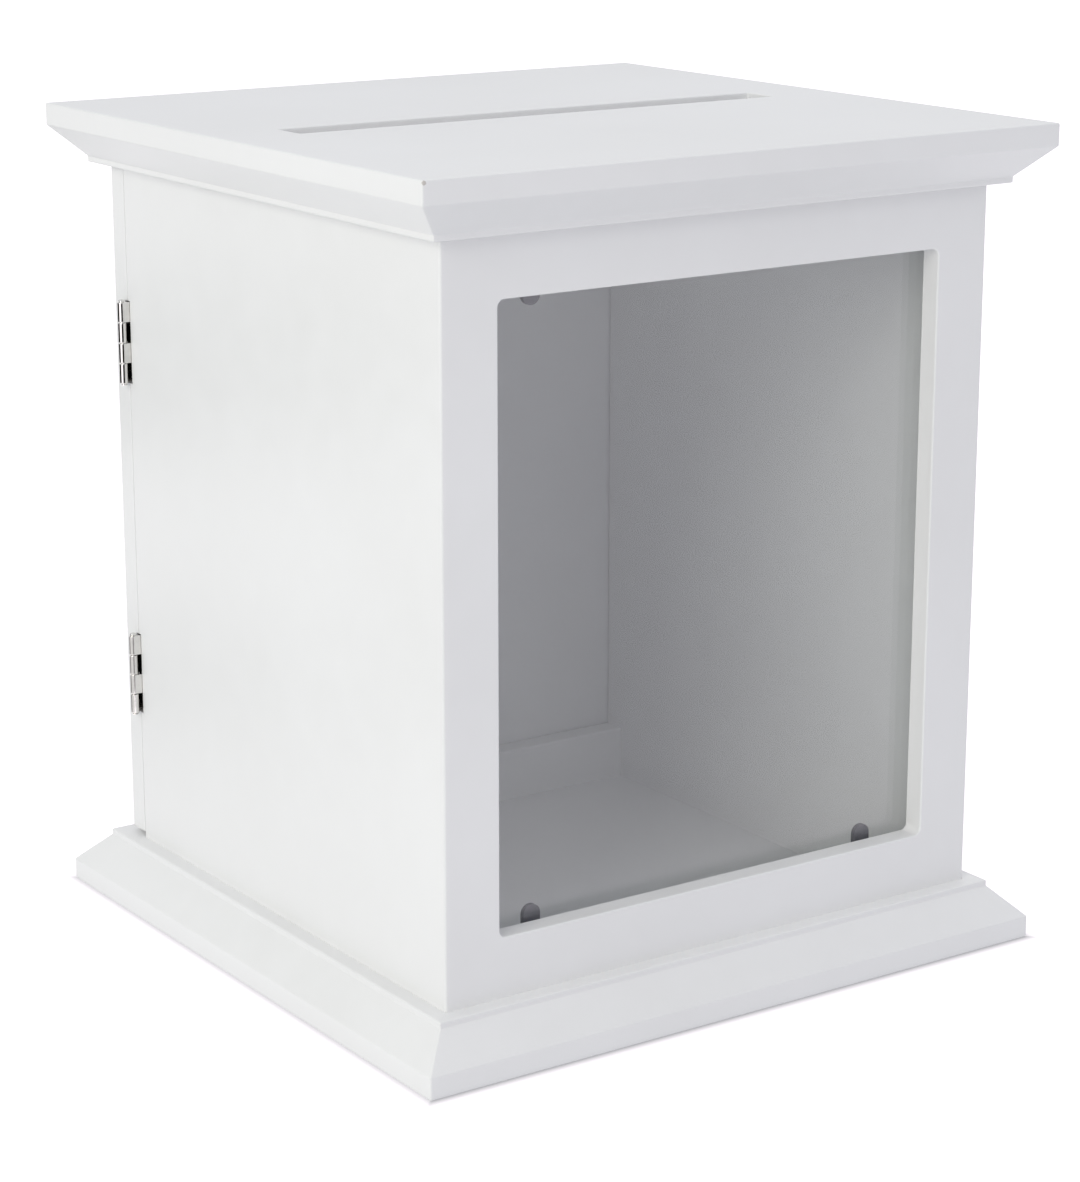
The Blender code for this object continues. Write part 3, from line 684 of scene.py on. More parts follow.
def eased_end(
    ease: float, steps: int = 4, support: float = SUPPORT
) -> tuple[np.ndarray, np.ndarray]:
    """Work out the insets and depths of the rings that round one end of a prism.

    The quarter round is inset = ease (1 - sin t), depth = ease (1 - cos t), for t from nought
    to a right angle, with one more ring on the flat at each side. Without ease it is one ring.

    Args:
        ease: the round's radius.
        steps: the round's faces.
        support: how far the flat rings stand off.

    Returns:
        The insets and the depths, from the end inwards.
    """
    if ease <= 0:
        return np.zeros(1), np.zeros(1)
    t = np.linspace(0.0, math.pi / 2, steps + 1)
    inset = np.concatenate([[ease + support], ease * (1 - np.sin(t)), [0.0]])
    depth = np.concatenate([[0.0], ease * (1 - np.cos(t)), [ease + support]])
    return inset, depth


class Shell:
    """A closed surface in the making: patches of points and faces, welded at the end."""

    def __init__(self) -> None:
        """Start with nothing."""
        self.points: list[np.ndarray] = []
        self.faces: list[list[int]] = []
        self.count = 0

    def add_points(self, points: np.ndarray) -> np.ndarray:
        """Take points.

        Args:
            points: in any layout, with (x, y, z) as the last dimension.

        Returns:
            Their numbers, in the same layout.
        """
        numbers = self.count + np.arange(points.size // 3).reshape(points.shape[:-1])
        self.points.append(points.reshape(-1, 3))
        self.count += points.size // 3
        return numbers

    def add_grid(self, points: np.ndarray, close_rows: bool = False) -> np.ndarray:
        """Lay quads over a grid whose columns run round and close.

        Args:
            points: the grid, as (row, column, 3).
            close_rows: whether the last row joins the first as well.

        Returns:
            The numbers of the grid's points.
        """
        numbers = self.add_points(points)
        around = np.concatenate([numbers, numbers[:, :1]], axis=1)
        if close_rows:
            around = np.concatenate([around, around[:1]], axis=0)
        corners = [around[:-1, :-1], around[:-1, 1:], around[1:, 1:], around[1:, :-1]]
        self.faces.extend(np.stack(corners, axis=2).reshape(-1, 4).tolist())
        return numbers

    def cap(self, numbers: np.ndarray) -> None:
        """Close a grid's first and last row with one face each."""
        self.faces += [numbers[0].tolist(), numbers[-1].tolist()]

    def add_prism(
        self,
        outline: Outline,
        ends: Pair,
        axis: Axis,
        ease: Pair = (0.0, 0.0),
        steps: int = 4,
        support: float = SUPPORT,
    ) -> None:
        """Carry an outline along an axis, with its two ends rounded and capped.

        Args:
            outline: the section.
            ends: where the prism begins and ends.
            axis: the direction it is carried along.
            ease: the rounds at the beginning and the end.
            steps: the faces of each round.
            support: how far the rings beside a round stand off.
        """
        first_inset, first_depth = eased_end(ease[0], steps, support)
        last_inset, last_depth = eased_end(ease[1], steps, support)
        insets = np.concatenate([first_inset, last_inset[::-1]])
        levels = np.concatenate([ends[0] + first_depth, ends[1] - last_depth[::-1]])
        rings = [(outline, inset, level) for inset, level in zip(insets, levels)]
        self.cap(self.add_grid(axis.place(stacked(rings))))

    def add_turned(self, section: np.ndarray, centre: Triple, axis: Axis, sides: int) -> None:
        """Turn a closed section about an axis.

        A point at radius r and height h goes to centre + (r cos t, r sin t, h).

        Args:
            section: its points, as (radius, height).
            centre: the axis's foot.
            axis: the direction of the axis.
            sides: how many faces go round.
        """
        angle = np.arange(sides) * (2 * math.pi / sides)
        radius, height = section[:, :1], section[:, 1:]
        drawn = np.stack(
            [radius * np.cos(angle), radius * np.sin(angle), height + np.zeros(sides)], axis=2
        )
        self.add_grid(axis.place(drawn) + np.asarray(centre), close_rows=True)

    def piece(
        self, node: str, look: str, finish: Finish, body: Body, crease: float = CREASE
    ) -> None:
        """Weld the patches into the piece that stands for a plain node.

        Args:
            node: the plain node.
            look: what was done to it, which ends the piece's name.
            finish: what the piece is dressed with.
            body: what it moves with.
            crease: edges that turn by more than these degrees stay sharp.
        """
        mesh = bpy.data.meshes.new(f"{node}_{look}")
        mesh.from_pydata(np.concatenate(self.points).tolist(), [], self.faces)
        settle(mesh, node, look, finish, body, crease)


def settle(
    mesh: bpy.types.Mesh, node: str, look: str, finish: Finish, body: Body, crease: float = CREASE
) -> bpy.types.Object:
    """Clean a closed mesh, point its faces outwards, tie its piece to its body and hide the plain
    node.

    Args:
        mesh: the mesh, in its place.
        node: the plain node that the piece stands for.
        look: what was done to it, which ends the piece's name.
        finish: what the piece is dressed with.
        body: what it moves with.
        crease: edges that turn by more than these degrees stay sharp.

    Returns:
        The piece.
    """
    shape = bmesh.new()
    shape.from_mesh(mesh)
    bmesh.ops.remove_doubles(shape, verts=shape.verts[:], dist=WELD)
    bmesh.ops.dissolve_degenerate(shape, edges=shape.edges[:], dist=WELD)
    bmesh.ops.recalc_face_normals(shape, faces=shape.faces[:])
    shape.to_mesh(mesh)
    shape.free()
    mesh.shade_smooth()
    mesh.set_sharp_from_angle(angle=math.radians(crease))
    mesh.materials.clear()
    mesh.materials.append(finish.material())
    piece = bpy.data.objects.new(f"{node}_{look}", mesh)
    bpy.context.scene.collection.objects.link(piece)
    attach(piece, body.value)
    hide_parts(node)
    LOG.info("%s: %d faces", piece.name, len(mesh.polygons))
    return piece


def rework(node: str, finish: Finish, body: Body, ease: float) -> None:
    """Copy a small turned or cut part, merge its flat faces and ease its edges.

    Args:
        node: the plain node.
        finish: what the copy is dressed with.
        body: what it moves with.
        ease: the width of its eased edges.
    """
    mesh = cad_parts[node].data.copy()
    piece = settle(mesh, node, "finished", finish, body)
    shape = bmesh.new()
    shape.from_mesh(mesh)
    bmesh.ops.dissolve_limit(
        shape, angle_limit=math.radians(FLAT), verts=shape.verts[:], edges=shape.edges[:]
    )
    shape.to_mesh(mesh)
    shape.free()
    bevel = piece.modifiers.new("eased_edges", "BEVEL")
    bevel.width = ease
    bevel.segments = 2
    bevel.limit_method = "ANGLE"
    bevel.angle_limit = math.radians(CREASE)
    bevel.harden_normals = False


# The box


@dataclass(frozen=True)
class BoxSizes:
    """Sizes that several parts share, in metres."""

    half_width: float = 0.1433
    half_depth: float = 0.1400
    height: float = 0.3780
    board: float = 0.0098
    overhang: float = 0.0216
    panel: float = 0.0120
    moulding_height: float = 0.0166
    side_rear: float = 0.1272
    door_inner: float = 0.1280
    coat: float = 0.0002
    seam_arris: float = 0.0003
    lock_z: float = 0.32778

    @property
    def reach(self) -> Pair:
        """Half the width and half the depth of the top and base boards."""
        return self.half_width + self.overhang, self.half_depth + self.overhang

    @property
    def foot(self) -> float:
        """The painted joint on top of the base board."""
        return self.board + SEAM_HALF

    @property
    def head(self) -> float:
        """The painted joint under the top board."""
        return self.height - self.board - SEAM_HALF


@dataclass(frozen=True)
class Boards:
    """The top board with its posting slot, and the base board."""

    box: BoxSizes
    paint: Lacquer = PAINT
    arris: float = 0.0008
    corner: float = 0.0010
    tip_round: float = 0.0014
    tip_points: int = 4
    slot_low: Pair = (-0.1280, -0.0074)
    slot_high: Pair = (0.1280, 0.0122)
    slot_corner: float = 0.0010
    slot_arris: float = 0.0006
    chip_in: float = 0.0011
    chip_drop: float = 0.0010

    @property
    def tip_reach(self) -> float:
        """How far the edge's round reaches along each of its tangents."""
        return self.tip_round * math.tan(math.pi / 8)

    @property
    def tip_turn(self) -> float:
        """The angle by which the round has turned at the joint."""
        return math.asin(self.tip_reach / self.tip_round)

    def edge(self) -> tuple[np.ndarray, np.ndarray]:
        """Work out the board's edge above the joint, from the flat to the joint.

        Its end runs over into the moulding with a round that is tangent to the upright edge and
        to the slope at 45 degrees. Only the part above the joint belongs to the board: inset =
        R (1 - cos t), rise = R tan(22.5) - R sin t, for t from nought until the rise is nought.

        Returns:
            The insets of its rings and their heights above the joint.
        """
        inset, depth = eased_end(self.arris)
        t = np.linspace(0.0, self.tip_turn, self.tip_points)
        rise = self.tip_reach - self.tip_round * np.sin(t)
        thick = self.box.board + SEAM_HALF
        insets = np.concatenate([inset, [0.0], self.tip_round * (1 - np.cos(t))])
        return insets, np.concatenate([thick - depth, [rise[0] + SUPPORT], rise])

    def plan(self) -> Outline:
        """The boards' plan."""
        x, y = self.box.reach
        return rectangle((-x, -y), (x, y), self.corner)

    def build_top(self) -> None:
        """Build the top board, with a small chip in the paint of its front left corner.

        Its rings run from the slot's foot up, over the flat, and down the edge.
        """
        slot = rectangle(self.slot_low, self.slot_high, self.slot_corner)
        plan = self.plan()
        inset, depth = eased_end(self.slot_arris)
        joint, top = self.box.head, self.box.height
        rings = [(slot, 0.0, joint)]
        rings += [(slot, -out, top - down) for out, down in zip(inset[::-1], depth[::-1])]
        rings += [(plan, draw, joint + rise) for draw, rise in zip(*self.edge())]
        shell = Shell()
        shell.add_grid(stacked(rings), close_rows=True)
        x, y = self.box.reach
        chip = (self.chip_in - x, -y, top - self.chip_drop)
        chipped = replace(self.paint, name=f"{self.paint.name}_chipped", chip=chip)
        shell.piece("top_board", "painted", chipped, Body.CARCASS)

    def build_base(self) -> None:
        """Build the base board: the same edge turned over, closed underneath."""
        plan = self.plan()
        rings = [(plan, draw, self.box.foot - rise) for draw, rise in zip(*self.edge())]
        shell = Shell()
        shell.cap(shell.add_grid(stacked(rings)))
        shell.piece("base_board", "painted", self.paint, Body.CARCASS)

    def build(self) -> None:
        """Build both boards."""
        self.build_top()
        self.build_base()


@dataclass(frozen=True)
class Mouldings:
    """Eight mitred strips: a bead and a slope under the top board, and the same round the foot."""

    box: BoxSizes
    boards: Boards
    paint: Lacquer = PAINT
    bead_height: float = 0.0028
    bead_projection: float = 0.0078
    bead_round: float = 0.0007
    valley_round: float = 0.0006
    soft_corner: float = 0.0006
    support: float = 0.0005
    steps: int = 4
    corner_points: int = 5
    crease: float = 28.0

    @property
    def share(self) -> int:
        """How many points each corner of the section has."""
        return self.steps + 3

    @property
    def top(self) -> float:
        """The section's height, from the bead's end to the painted joint."""
        return self.box.moulding_height + SEAM_HALF

    def section(self, back: float) -> np.ndarray:
        """Work out the closed section, as (projection, rise from the bead's end).

        The slope's end follows the board's round below the joint: projection = overhang -
        R (1 - cos t), drop = R sin t - R tan(22.5), for t from 45 degrees down to the joint's.

        Args:
            back: the projection of the back face, below zero where it is thickened.

        Returns:
            The section's points.
        """
        top, bead, overhang = self.top, self.bead_projection, self.box.overhang
        corners = [(bead, 0.0), (bead, self.bead_height), (overhang, top), (0.0, top), (0.0, 0.0)]
        radii = [self.bead_round, self.valley_round, 0.0, 0.0, 0.0]
        if back < 0:
            corners[4:4] = [(back, top), (back, 0.0)]
            radii += [0.0, 0.0]
        ring = Outline(tuple(corners), tuple(radii), self.steps, self.support).ring()
        radius = self.boards.tip_round
        slope = math.atan2(top - self.bead_height, overhang - bead)
        t = np.linspace(slope, self.boards.tip_turn, self.share)
        drop = radius * np.sin(t) - self.boards.tip_reach
        tip = slice(2 * self.share, 3 * self.share)
        ring[tip] = np.stack([overhang - radius * (1 - np.cos(t)), top - drop], axis=1)
        return ring

    def strip(self, half_run: float, distance: float, back: float) -> np.ndarray:
        """Work out one strip that faces -Y, run along X to the diagonals of its two corners.

        A section point at projection p runs along a rectangle that is p larger than the body:
        the corner's arc is centre + r (cos t, sin t), for t from 225 to 270 degrees on the left
        and 270 to 315 on the right, with r = soft corner. Behind the body's face it is square.

        Args:
            half_run: half the body's width on this side.
            distance: the body's face from the middle.
            back: the projection of the strip's back.

        Returns:
            The grid, as (station, section point, 3), with the rise as its last value.
        """
        section = self.section(back)
        out = section[:, 0]
        radius = np.maximum(self.boards.corner - (self.box.overhang - out), self.soft_corner)
        radius = np.where(out > 0, radius, 0.0)
        left = np.radians(np.linspace(225.0, 270.0, self.corner_points))[:, None]
        right = np.radians(np.linspace(270.0, 315.0, self.corner_points))[:, None]
        reach = half_run + np.maximum(out, 0.0)
        front = -distance - out
        x_left = radius - reach + radius * np.cos(left)
        y_left = front + radius + radius * np.sin(left)
        x_right = reach - radius + radius * np.cos(right)
        y_right = front + radius + radius * np.sin(right)
        x = np.concatenate([x_left, x_left[-1:] + SUPPORT, x_right[:1] - SUPPORT, x_right])
        y = np.concatenate([y_left, y_left[-1:], y_right[:1], y_right])
        return np.stack([x, y, np.broadcast_to(section[:, 1], x.shape)], axis=2)

    def close(self, shell: Shell, numbers: np.ndarray, back: float) -> None:
        """Close one end: the mitre on the diagonal, and the square part behind the body's face.

        Args:
            shell: takes the faces.
            numbers: the end's points, one corner of the section after the other.
            back: the projection of the strip's back.
        """
        mitre = numbers
        if back < 0:
            mitre = np.concatenate([numbers[:4 * self.share], numbers[6 * self.share:]])
            shell.faces.append(numbers[3 * self.share:].tolist())
        shell.faces.append(mitre.tolist())

    def build(self) -> None:
        """Build all eight strips, each turned to its side of the box, the foot's upside down."""
        box = self.box
        across = (box.half_width, box.half_depth)
        for name, bead_z, up in (
            ("cornice", box.head - box.moulding_height - SEAM_HALF, 1.0),
            ("plinth", box.foot + box.moulding_height + SEAM_HALF, -1.0),
        ):
            for side in Side:
                run, distance = across if side in (Side.FRONT, Side.BACK) else across[::-1]
                back = box.side_rear - box.half_depth if side is Side.BACK else 0.0
                grid = side.turn(self.strip(run, distance, back))
                grid[..., 2] = bead_z + up * grid[..., 2]
                shell = Shell()
                numbers = shell.add_grid(grid)
                self.close(shell, numbers[0], back)
                self.close(shell, numbers[-1], back)
                node = f"{name}_{side.name.lower()}"
                shell.piece(node, "painted", self.paint, Body.CARCASS, self.crease)


@dataclass(frozen=True)
class WindowFront:
    """The front panel with its window and rebate, the clear pane, and the tabs behind it."""

    box: BoxSizes
    paint: Lacquer = PAINT
    sheet: ClearSheet = SHEET
    plastic: MouldedPlastic = PLASTIC
    screws: Plated = ZINC
    half_x: float = 0.1159
    half_z: float = 0.1353
    corner: float = 0.0033
    arris: float = 0.0007
    steps: int = 8
    edge_round: float = 0.0012
    edge_support: float = 0.0010
    edge_steps: int = 5
    bearing: float = 0.0060
    rebate_floor: float = -0.1303
    rebate_corner: float = 0.0010
    pane_corner: float = 0.0004
    pane_ease: float = 0.0002
    clip_count: int = 4
    clip_ease: float = 0.0005
    clip_steps: int = 12
    screw_ease: float = 0.00015

    def opening(self, grow: float, radius: float) -> Outline:
        """Draw the window's outline.

        Args:
            grow: how far it is let out.
            radius: its corners' radius.

        Returns:
            The outline.
        """
        half_x, half_z = self.half_x + grow, self.half_z + grow
        middle = self.box.height / 2
        low, high = (-half_x, middle - half_z), (half_x, middle + half_z)
        return rectangle(low, high, radius, steps=self.steps)

    def build_panel(self) -> None:
        """Build the panel: rings from its outer edge over the face, through the window and back."""
        box = self.box
        front = -box.half_depth
        back = front + box.panel + SEAM_HALF
        low, high = (-box.half_width, box.foot), (box.half_width, box.head)
        square = rectangle(low, high, HAIR, steps=self.steps)
        window = self.opening(0.0, self.corner)
        rebate = self.opening(self.bearing, self.rebate_corner)
        inset, depth = eased_end(self.edge_round, self.edge_steps, self.edge_support)
        hole = eased_end(self.arris, self.edge_steps)
        rings = [(square, 0.0, back)]
        rings += [(square, draw, front + down) for draw, down in zip(inset[::-1], depth[::-1])]
        rings += [(window, -out, front + down) for out, down in zip(*hole)]
        rings += [(window, 0.0, self.rebate_floor), (rebate, 0.0, self.rebate_floor)]
        rings += [(rebate, 0.0, back)]
        shell = Shell()
        shell.add_grid(Axis.Y.place(stacked(rings)), close_rows=True)
        shell.piece("front_panel", "painted", self.paint, Body.CARCASS)

    def build_pane(self) -> None:
        """Build the pane, a thin prism with barely broken edges."""
        low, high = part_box("window_pane")
        fine = {"steps": 2, "support": FINE_SUPPORT}
        line = rectangle((low.x, low.z), (high.x, high.z), self.pane_corner, **fine)
        shell = Shell()
        shell.add_prism(line, (low.y, high.y), Axis.Y, (self.pane_ease, self.pane_ease), **fine)
        shell.piece("window_pane", "polished", self.sheet, Body.CARCASS)

    def build_clips(self) -> None:
        """Build the tabs with their round ends, and the screws that hold them."""
        ease = (self.clip_ease / 2, self.clip_ease)
        for number in range(1, self.clip_count + 1):
            node = f"pane_clip_{number}"
            low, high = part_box(node)
            radius = min(high.x - low.x, high.z - low.z) / 2 - HAIR
            round_ends = {"steps": self.clip_steps, "support": 0.0}
            line = rectangle((low.x, low.z), (high.x, high.z), radius, **round_ends)
            shell = Shell()
            shell.add_prism(line, (low.y, high.y), Axis.Y, ease, support=FINE_SUPPORT)
            shell.piece(node, "moulded", self.plastic, Body.CARCASS)
            rework(f"pane_clip_screw_{number}", self.screws, Body.CARCASS, self.screw_ease)

    def build(self) -> None:
        """Build the panel, the pane and its clips."""
        self.build_panel()
        self.build_pane()
        self.build_clips()


@dataclass(frozen=True)
class Mortise:
    """A shallow pocket for a hinge leaf, open to the left edge of the wood."""

    low_z: float
    high_z: float
    edge_x: float
    floor_y: float

    def cut(self, grid: np.ndarray, toward: float) -> np.ndarray:
        """Push the points over the pocket down to its floor.

        A point whose x is left of the pocket's edge and whose z is in its height gets y = the
        floor, where it stood proud of the floor on the open side.

        Args:
            grid: the points, as (..., 3).
            toward: plus one where the pocket opens towards +Y, minus one towards -Y.

        Returns:
            The points with the pocket cut.
        """
        inside = (grid[..., 0] < self.edge_x) & (grid[..., 2] > self.low_z)
        inside &= (grid[..., 2] < self.high_z) & (grid[..., 1] * toward > self.floor_y * toward)
        cut = grid.copy()
        cut[..., 1] = np.where(inside, self.floor_y, grid[..., 1])
        return cut

    def stations(self) -> list[float]:
        """The heights at which the wood's section changes."""
        return [self.low_z - HAIR, self.low_z + HAIR, self.high_z - HAIR, self.high_z + HAIR]


@dataclass(frozen=True)
class Hinge:
    """A butt hinge: two leaves rolled round a pin in four knuckles."""

    name: str
    middle_z: float
    plate: Plated = NICKEL
    axis_x: float = -0.1464
    axis_y: float = 0.1276
    height: float = 0.0384
    knuckles: int = 4
    barrel: float = 0.00195
    leaf: float = 0.0009
    notch: float = 0.0034
    reach: float = 0.0125
    gap: float = 0.0003
    pin: float = 0.0010
    cap: float = 0.0016
    cap_height: float = 0.0009
    bore_play: float = 0.0001
    end_ease: float = 0.00018
    end_support: float = 0.0002
    end_steps: int = 2
    roll_points: int = 41
    hidden_points: int = 9
    dome_points: int = 7
    pin_sides: int = 32
    plate_corner: float = 0.0016
    screw_ease: float = 0.00012
    crease: float = 40.0

    def mortise(self, wing: Wing) -> Mortise:
        """Work out the pocket that one leaf lies in.

        Args:
            wing: which leaf.

        Returns:
            The pocket.
        """
        half = self.height / 2 + self.gap
        return Mortise(
            self.middle_z - half,
            self.middle_z + half,
            self.axis_x + self.reach + self.gap,
            self.axis_y + wing.side * (self.barrel + self.gap),
        )

    def placed(self, flat: np.ndarray, side: int, level: float) -> np.ndarray:
        """Flat points about the pin, turned to a leaf's side and put at a level."""
        return at_level(flat * (1.0, side) + (self.axis_x, self.axis_y), level)

    def knuckle(self, shell: Shell, side: int, low: float, high: float) -> None:
        """Add one knuckle: a barrel round the bore, run out on a tangent into the tongue.

        The walls are the rolled outline carried up. The end faces are a ring of quads between
        the bore and the barrel, and one face for the tongue outside it.

        Args:
            shell: takes the patches.
            side: plus one where the tongue leaves towards the door.
            low: the knuckle's foot.
            high: its head.
        """
        inner_rise = self.barrel - self.leaf
        meeting = math.asin(inner_rise / self.barrel)
        arc = np.linspace(math.pi / 2, 2 * math.pi + meeting, self.roll_points)
        hidden = np.linspace(meeting, math.pi / 2, self.hidden_points)[1:-1]
        tongue = np.array([(self.notch, inner_rise), (self.notch, self.barrel)])
        drawn, depth = eased_end(self.end_ease, self.end_steps, self.end_support)
        insets = np.concatenate([drawn[1:], drawn[:0:-1]])
        levels = np.concatenate([low + depth[1:], high - depth[:0:-1]])
        walls = [
            self.placed(np.concatenate([circle(self.barrel - inset, arc), tongue]), side, level)
            for inset, level in zip(insets, levels)
        ]
        shell.add_grid(np.stack(walls))
        turn = np.concatenate([arc, hidden])
        covered = np.concatenate([arc[-1:], hidden, arc[:1]])
        barrel = self.barrel - insets[0]
        bore = circle(self.pin + self.bore_play, turn)
        foot, head = self.placed(bore, side, low), self.placed(bore, side, high)
        for level, hole in ((low, foot), (high, head)):
            shell.add_grid(np.stack([self.placed(circle(barrel, turn), side, level), hole]))
            around = np.concatenate([circle(barrel, covered), tongue[::-1]])
            shell.faces.append(shell.add_points(self.placed(around, side, level)).tolist())
        shell.add_grid(np.stack([foot, head]))

    def build_leaf(self, wing: Wing) -> None:
        """Build one leaf: its plate with two round corners, and every other knuckle.

        Args:
            wing: which leaf.
        """
        foot = self.middle_z - self.height / 2
        near = self.axis_y + wing.side * (self.barrel - self.leaf)
        far = self.axis_y + wing.side * self.barrel
        radii = (0.0, self.plate_corner, self.plate_corner, 0.0)
        low = (self.axis_x + self.notch, foot + self.gap)
        high = (self.axis_x + self.reach, foot + self.height - self.gap)
        line = rectangle(low, high, radii, support=FINE_SUPPORT)
        shell = Shell()
        shell.add_prism(line, (min(near, far), max(near, far)), Axis.Y)
        pitch = self.height / self.knuckles
        for number in range(0 if wing is Wing.DOOR else 1, self.knuckles, 2):
            start = foot + number * pitch + self.gap / 2
            self.knuckle(shell, wing.side, start, start + pitch - self.gap)
        node = f"{self.name}_{wing.name.lower()}_leaf"
        shell.piece(node, "plated", self.plate, wing.body, self.crease)

    def build_pin(self) -> None:
        """Build the pin, turned, with a domed cap at each end: radius c cos t, rise h sin t."""
        half = self.height / 2 + self.gap
        t = np.linspace(math.pi / 2, 0.0, self.dome_points)
        dome = np.stack([self.cap * np.cos(t), half + self.cap_height * np.sin(t)], axis=1)
        upper = np.concatenate([dome, [(self.cap, half - HAIR), (self.pin, half - HAIR)]])
        section = np.concatenate([upper, upper[::-1] * (1.0, -1.0)])
        shell = Shell()
        centre = (self.axis_x, self.axis_y, self.middle_z)
        shell.add_turned(section, centre, Axis.Z, self.pin_sides)
        shell.piece(f"{self.name}_pin", "plated", self.plate, Body.CARCASS)

    def build(self) -> None:
        """Build both leaves, the pin and the four screws."""
        for wing in Wing:
            self.build_leaf(wing)
        self.build_pin()
        for wing in Wing:
            for number in (1, 2):
                node = f"{self.name}_{wing.name.lower()}_screw_{number}"
                rework(node, self.plate, wing.body, self.screw_ease)


@dataclass(frozen=True)
class Carcass:
    """The two sides and the two rear rails."""

    box: BoxSizes
    hinges: tuple[Hinge, ...]
    paint: Lacquer = PAINT
    arris: float = 0.0008

    def build_sides(self) -> None:
        """Build each side, carried up from the base, with the hinges' pockets on the left.

        Both are drawn on the left, and the right one is mirrored.
        """
        box = self.box
        front = -box.half_depth + box.panel + SEAM_HALF
        outer, inner = -box.half_width, box.panel - box.half_width
        rear = box.side_rear + box.coat
        edge = self.hinges[0].mortise(Wing.BODY).edge_x
        corners = [(outer, front), (inner, front), (inner, rear)]
        corners += [(edge + HAIR, rear), (edge - HAIR, rear), (outer, rear)]
        line = Outline(tuple(corners), (0.0, 0.0, self.arris, 0.0, 0.0, box.seam_arris))
        for side, mirror in ((Side.LEFT, 1.0), (Side.RIGHT, -1.0)):
            cuts = [hinge.mortise(Wing.BODY) for hinge in self.hinges if side is Side.LEFT]
            levels = sorted([box.foot, box.head] + [z for cut in cuts for z in cut.stations()])
            grid = stacked([(line, 0.0, level) for level in levels])
            for cut in cuts:
                grid = cut.cut(grid, 1.0)
            grid[..., 0] *= mirror
            shell = Shell()
            shell.cap(shell.add_grid(grid))
            node = f"{side.name.lower()}_side_panel"
            shell.piece(node, "painted", self.paint, Body.CARCASS)

    def build_rails(self) -> None:
        """Build the rails, eased along the edges that show and run out to the painted joints."""
        reach = self.box.half_width - self.box.panel
        eased, square = (self.arris,) * 2, (0.0,) * 2
        for node in ("rear_top_rail", "rear_bottom_rail"):
            low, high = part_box(node)
            if node == "rear_top_rail":
                bottom, top, radii = low.z, self.box.head, eased + square
            else:
                bottom, top, radii = self.box.foot, high.z, square + eased
            shell = Shell()
            line = rectangle((low.y, bottom), (high.y, top), radii)
            shell.add_prism(line, (-reach, reach), Axis.X)
            shell.piece(node, "painted", self.paint, Body.CARCASS)

    def build(self) -> None:
        """Build the sides and the rails."""
        self.build_sides()
        self.build_rails()


@dataclass(frozen=True)
class RearDoor:
    """The overlay door, with pockets for the hinge leaves and a hole for the lock."""

    box: BoxSizes
    hinges: tuple[Hinge, ...]
    paint: Lacquer = PAINT
    foot: float = 0.0289
    head: float = 0.3495
    arris: float = 0.0008
    hole: float = 0.0083
    cell: float = 0.0150
    round_sides: int = 64

    @property
    def faces(self) -> Pair:
        """Where the door's inner and outer face stand, with the paint of the inner one."""
        return self.box.door_inner - self.box.coat, self.box.half_depth

    def plan(self) -> Outline:
        """Draw the plan, with a corner where a pocket or the lock's square begins and ends.

        Returns:
            The outline.
        """
        width, cell = self.box.half_width, self.cell
        inner, outer = self.faces
        edge = self.hinges[0].mortise(Wing.DOOR).edge_x
        corners = [(-width, inner), (edge - HAIR, inner), (edge + HAIR, inner), (-cell, inner)]
        corners += [(cell, inner), (width, inner), (width, outer), (cell, outer)]
        corners += [(-cell, outer), (-width, outer)]
        arris = {inner: self.box.seam_arris, outer: self.arris}
        return Outline(
            tuple(corners), tuple(arris[y] if abs(x) == width else 0.0 for x, y in corners)
        )

    def build(self) -> None:
        """Build the door: its plan carried up in rings, with the hole opened in both faces."""
        plan = self.plan()
        cuts = [hinge.mortise(Wing.DOOR) for hinge in self.hinges]
        inset, depth = eased_end(self.arris)
        middle = [self.box.lock_z - self.cell, self.box.lock_z + self.cell]
        middle += [z for cut in cuts for z in cut.stations()]
        rings = [(plan, draw, self.foot + down) for draw, down in zip(inset, depth)]
        rings += [(plan, 0.0, level) for level in sorted(middle)]
        rings += [(plan, draw, self.head - down) for draw, down in zip(inset[::-1], depth[::-1])]
        grid = stacked(rings)
        for cut in cuts:
            grid = cut.cut(grid, -1.0)
        shell = Shell()
        numbers = shell.add_grid(grid)
        self.take_squares(shell)
        shell.cap(numbers)
        self.open_hole(shell)
        shell.piece("rear_door", "painted", self.paint, Body.DOOR)

    def take_squares(self, shell: Shell) -> None:
        """Take out the square round the lock in each face: the quads whose middle is the lock's.

        Args:
            shell: loses the two quads.
        """
        quads = np.concatenate(shell.points)[np.array(shell.faces)]
        centre, spread = quads.mean(axis=1), np.ptp(quads, axis=1)
        taken = (np.abs(centre[:, 0]) < HAIR) & (np.abs(centre[:, 2] - self.box.lock_z) < HAIR)
        taken &= (spread[:, 0] > self.cell) & (spread[:, 2] > self.cell)
        shell.faces = np.array(shell.faces)[~taken].tolist()

    def open_hole(self, shell: Shell) -> None:
        """Fill each opened square round the lock's hole, and wall the hole.

        Args:
            shell: takes the patches.
        """
        angle = math.pi / 4 + np.arange(self.round_sides) * (2 * math.pi / self.round_sides)
        lift = (0.0, self.box.lock_z)
        ring = circle(self.hole, angle) + lift
        square = self.cell * np.array([(1.0, 1.0), (-1.0, 1.0), (-1.0, -1.0), (1.0, -1.0)]) + lift
        quarter = self.round_sides // 4
        for level in self.faces:
            for number in range(4):
                turn = np.arange(quarter + 1) + number * quarter
                part = np.take(ring, turn, axis=0, mode="wrap")
                flat = np.concatenate([part, square[[(number + 1) % 4, number]]])
                drawn = Axis.Y.place(at_level(flat, level))
                shell.faces.append(shell.add_points(drawn).tolist())
        shell.add_grid(Axis.Y.place(np.stack([at_level(ring, level) for level in self.faces])))


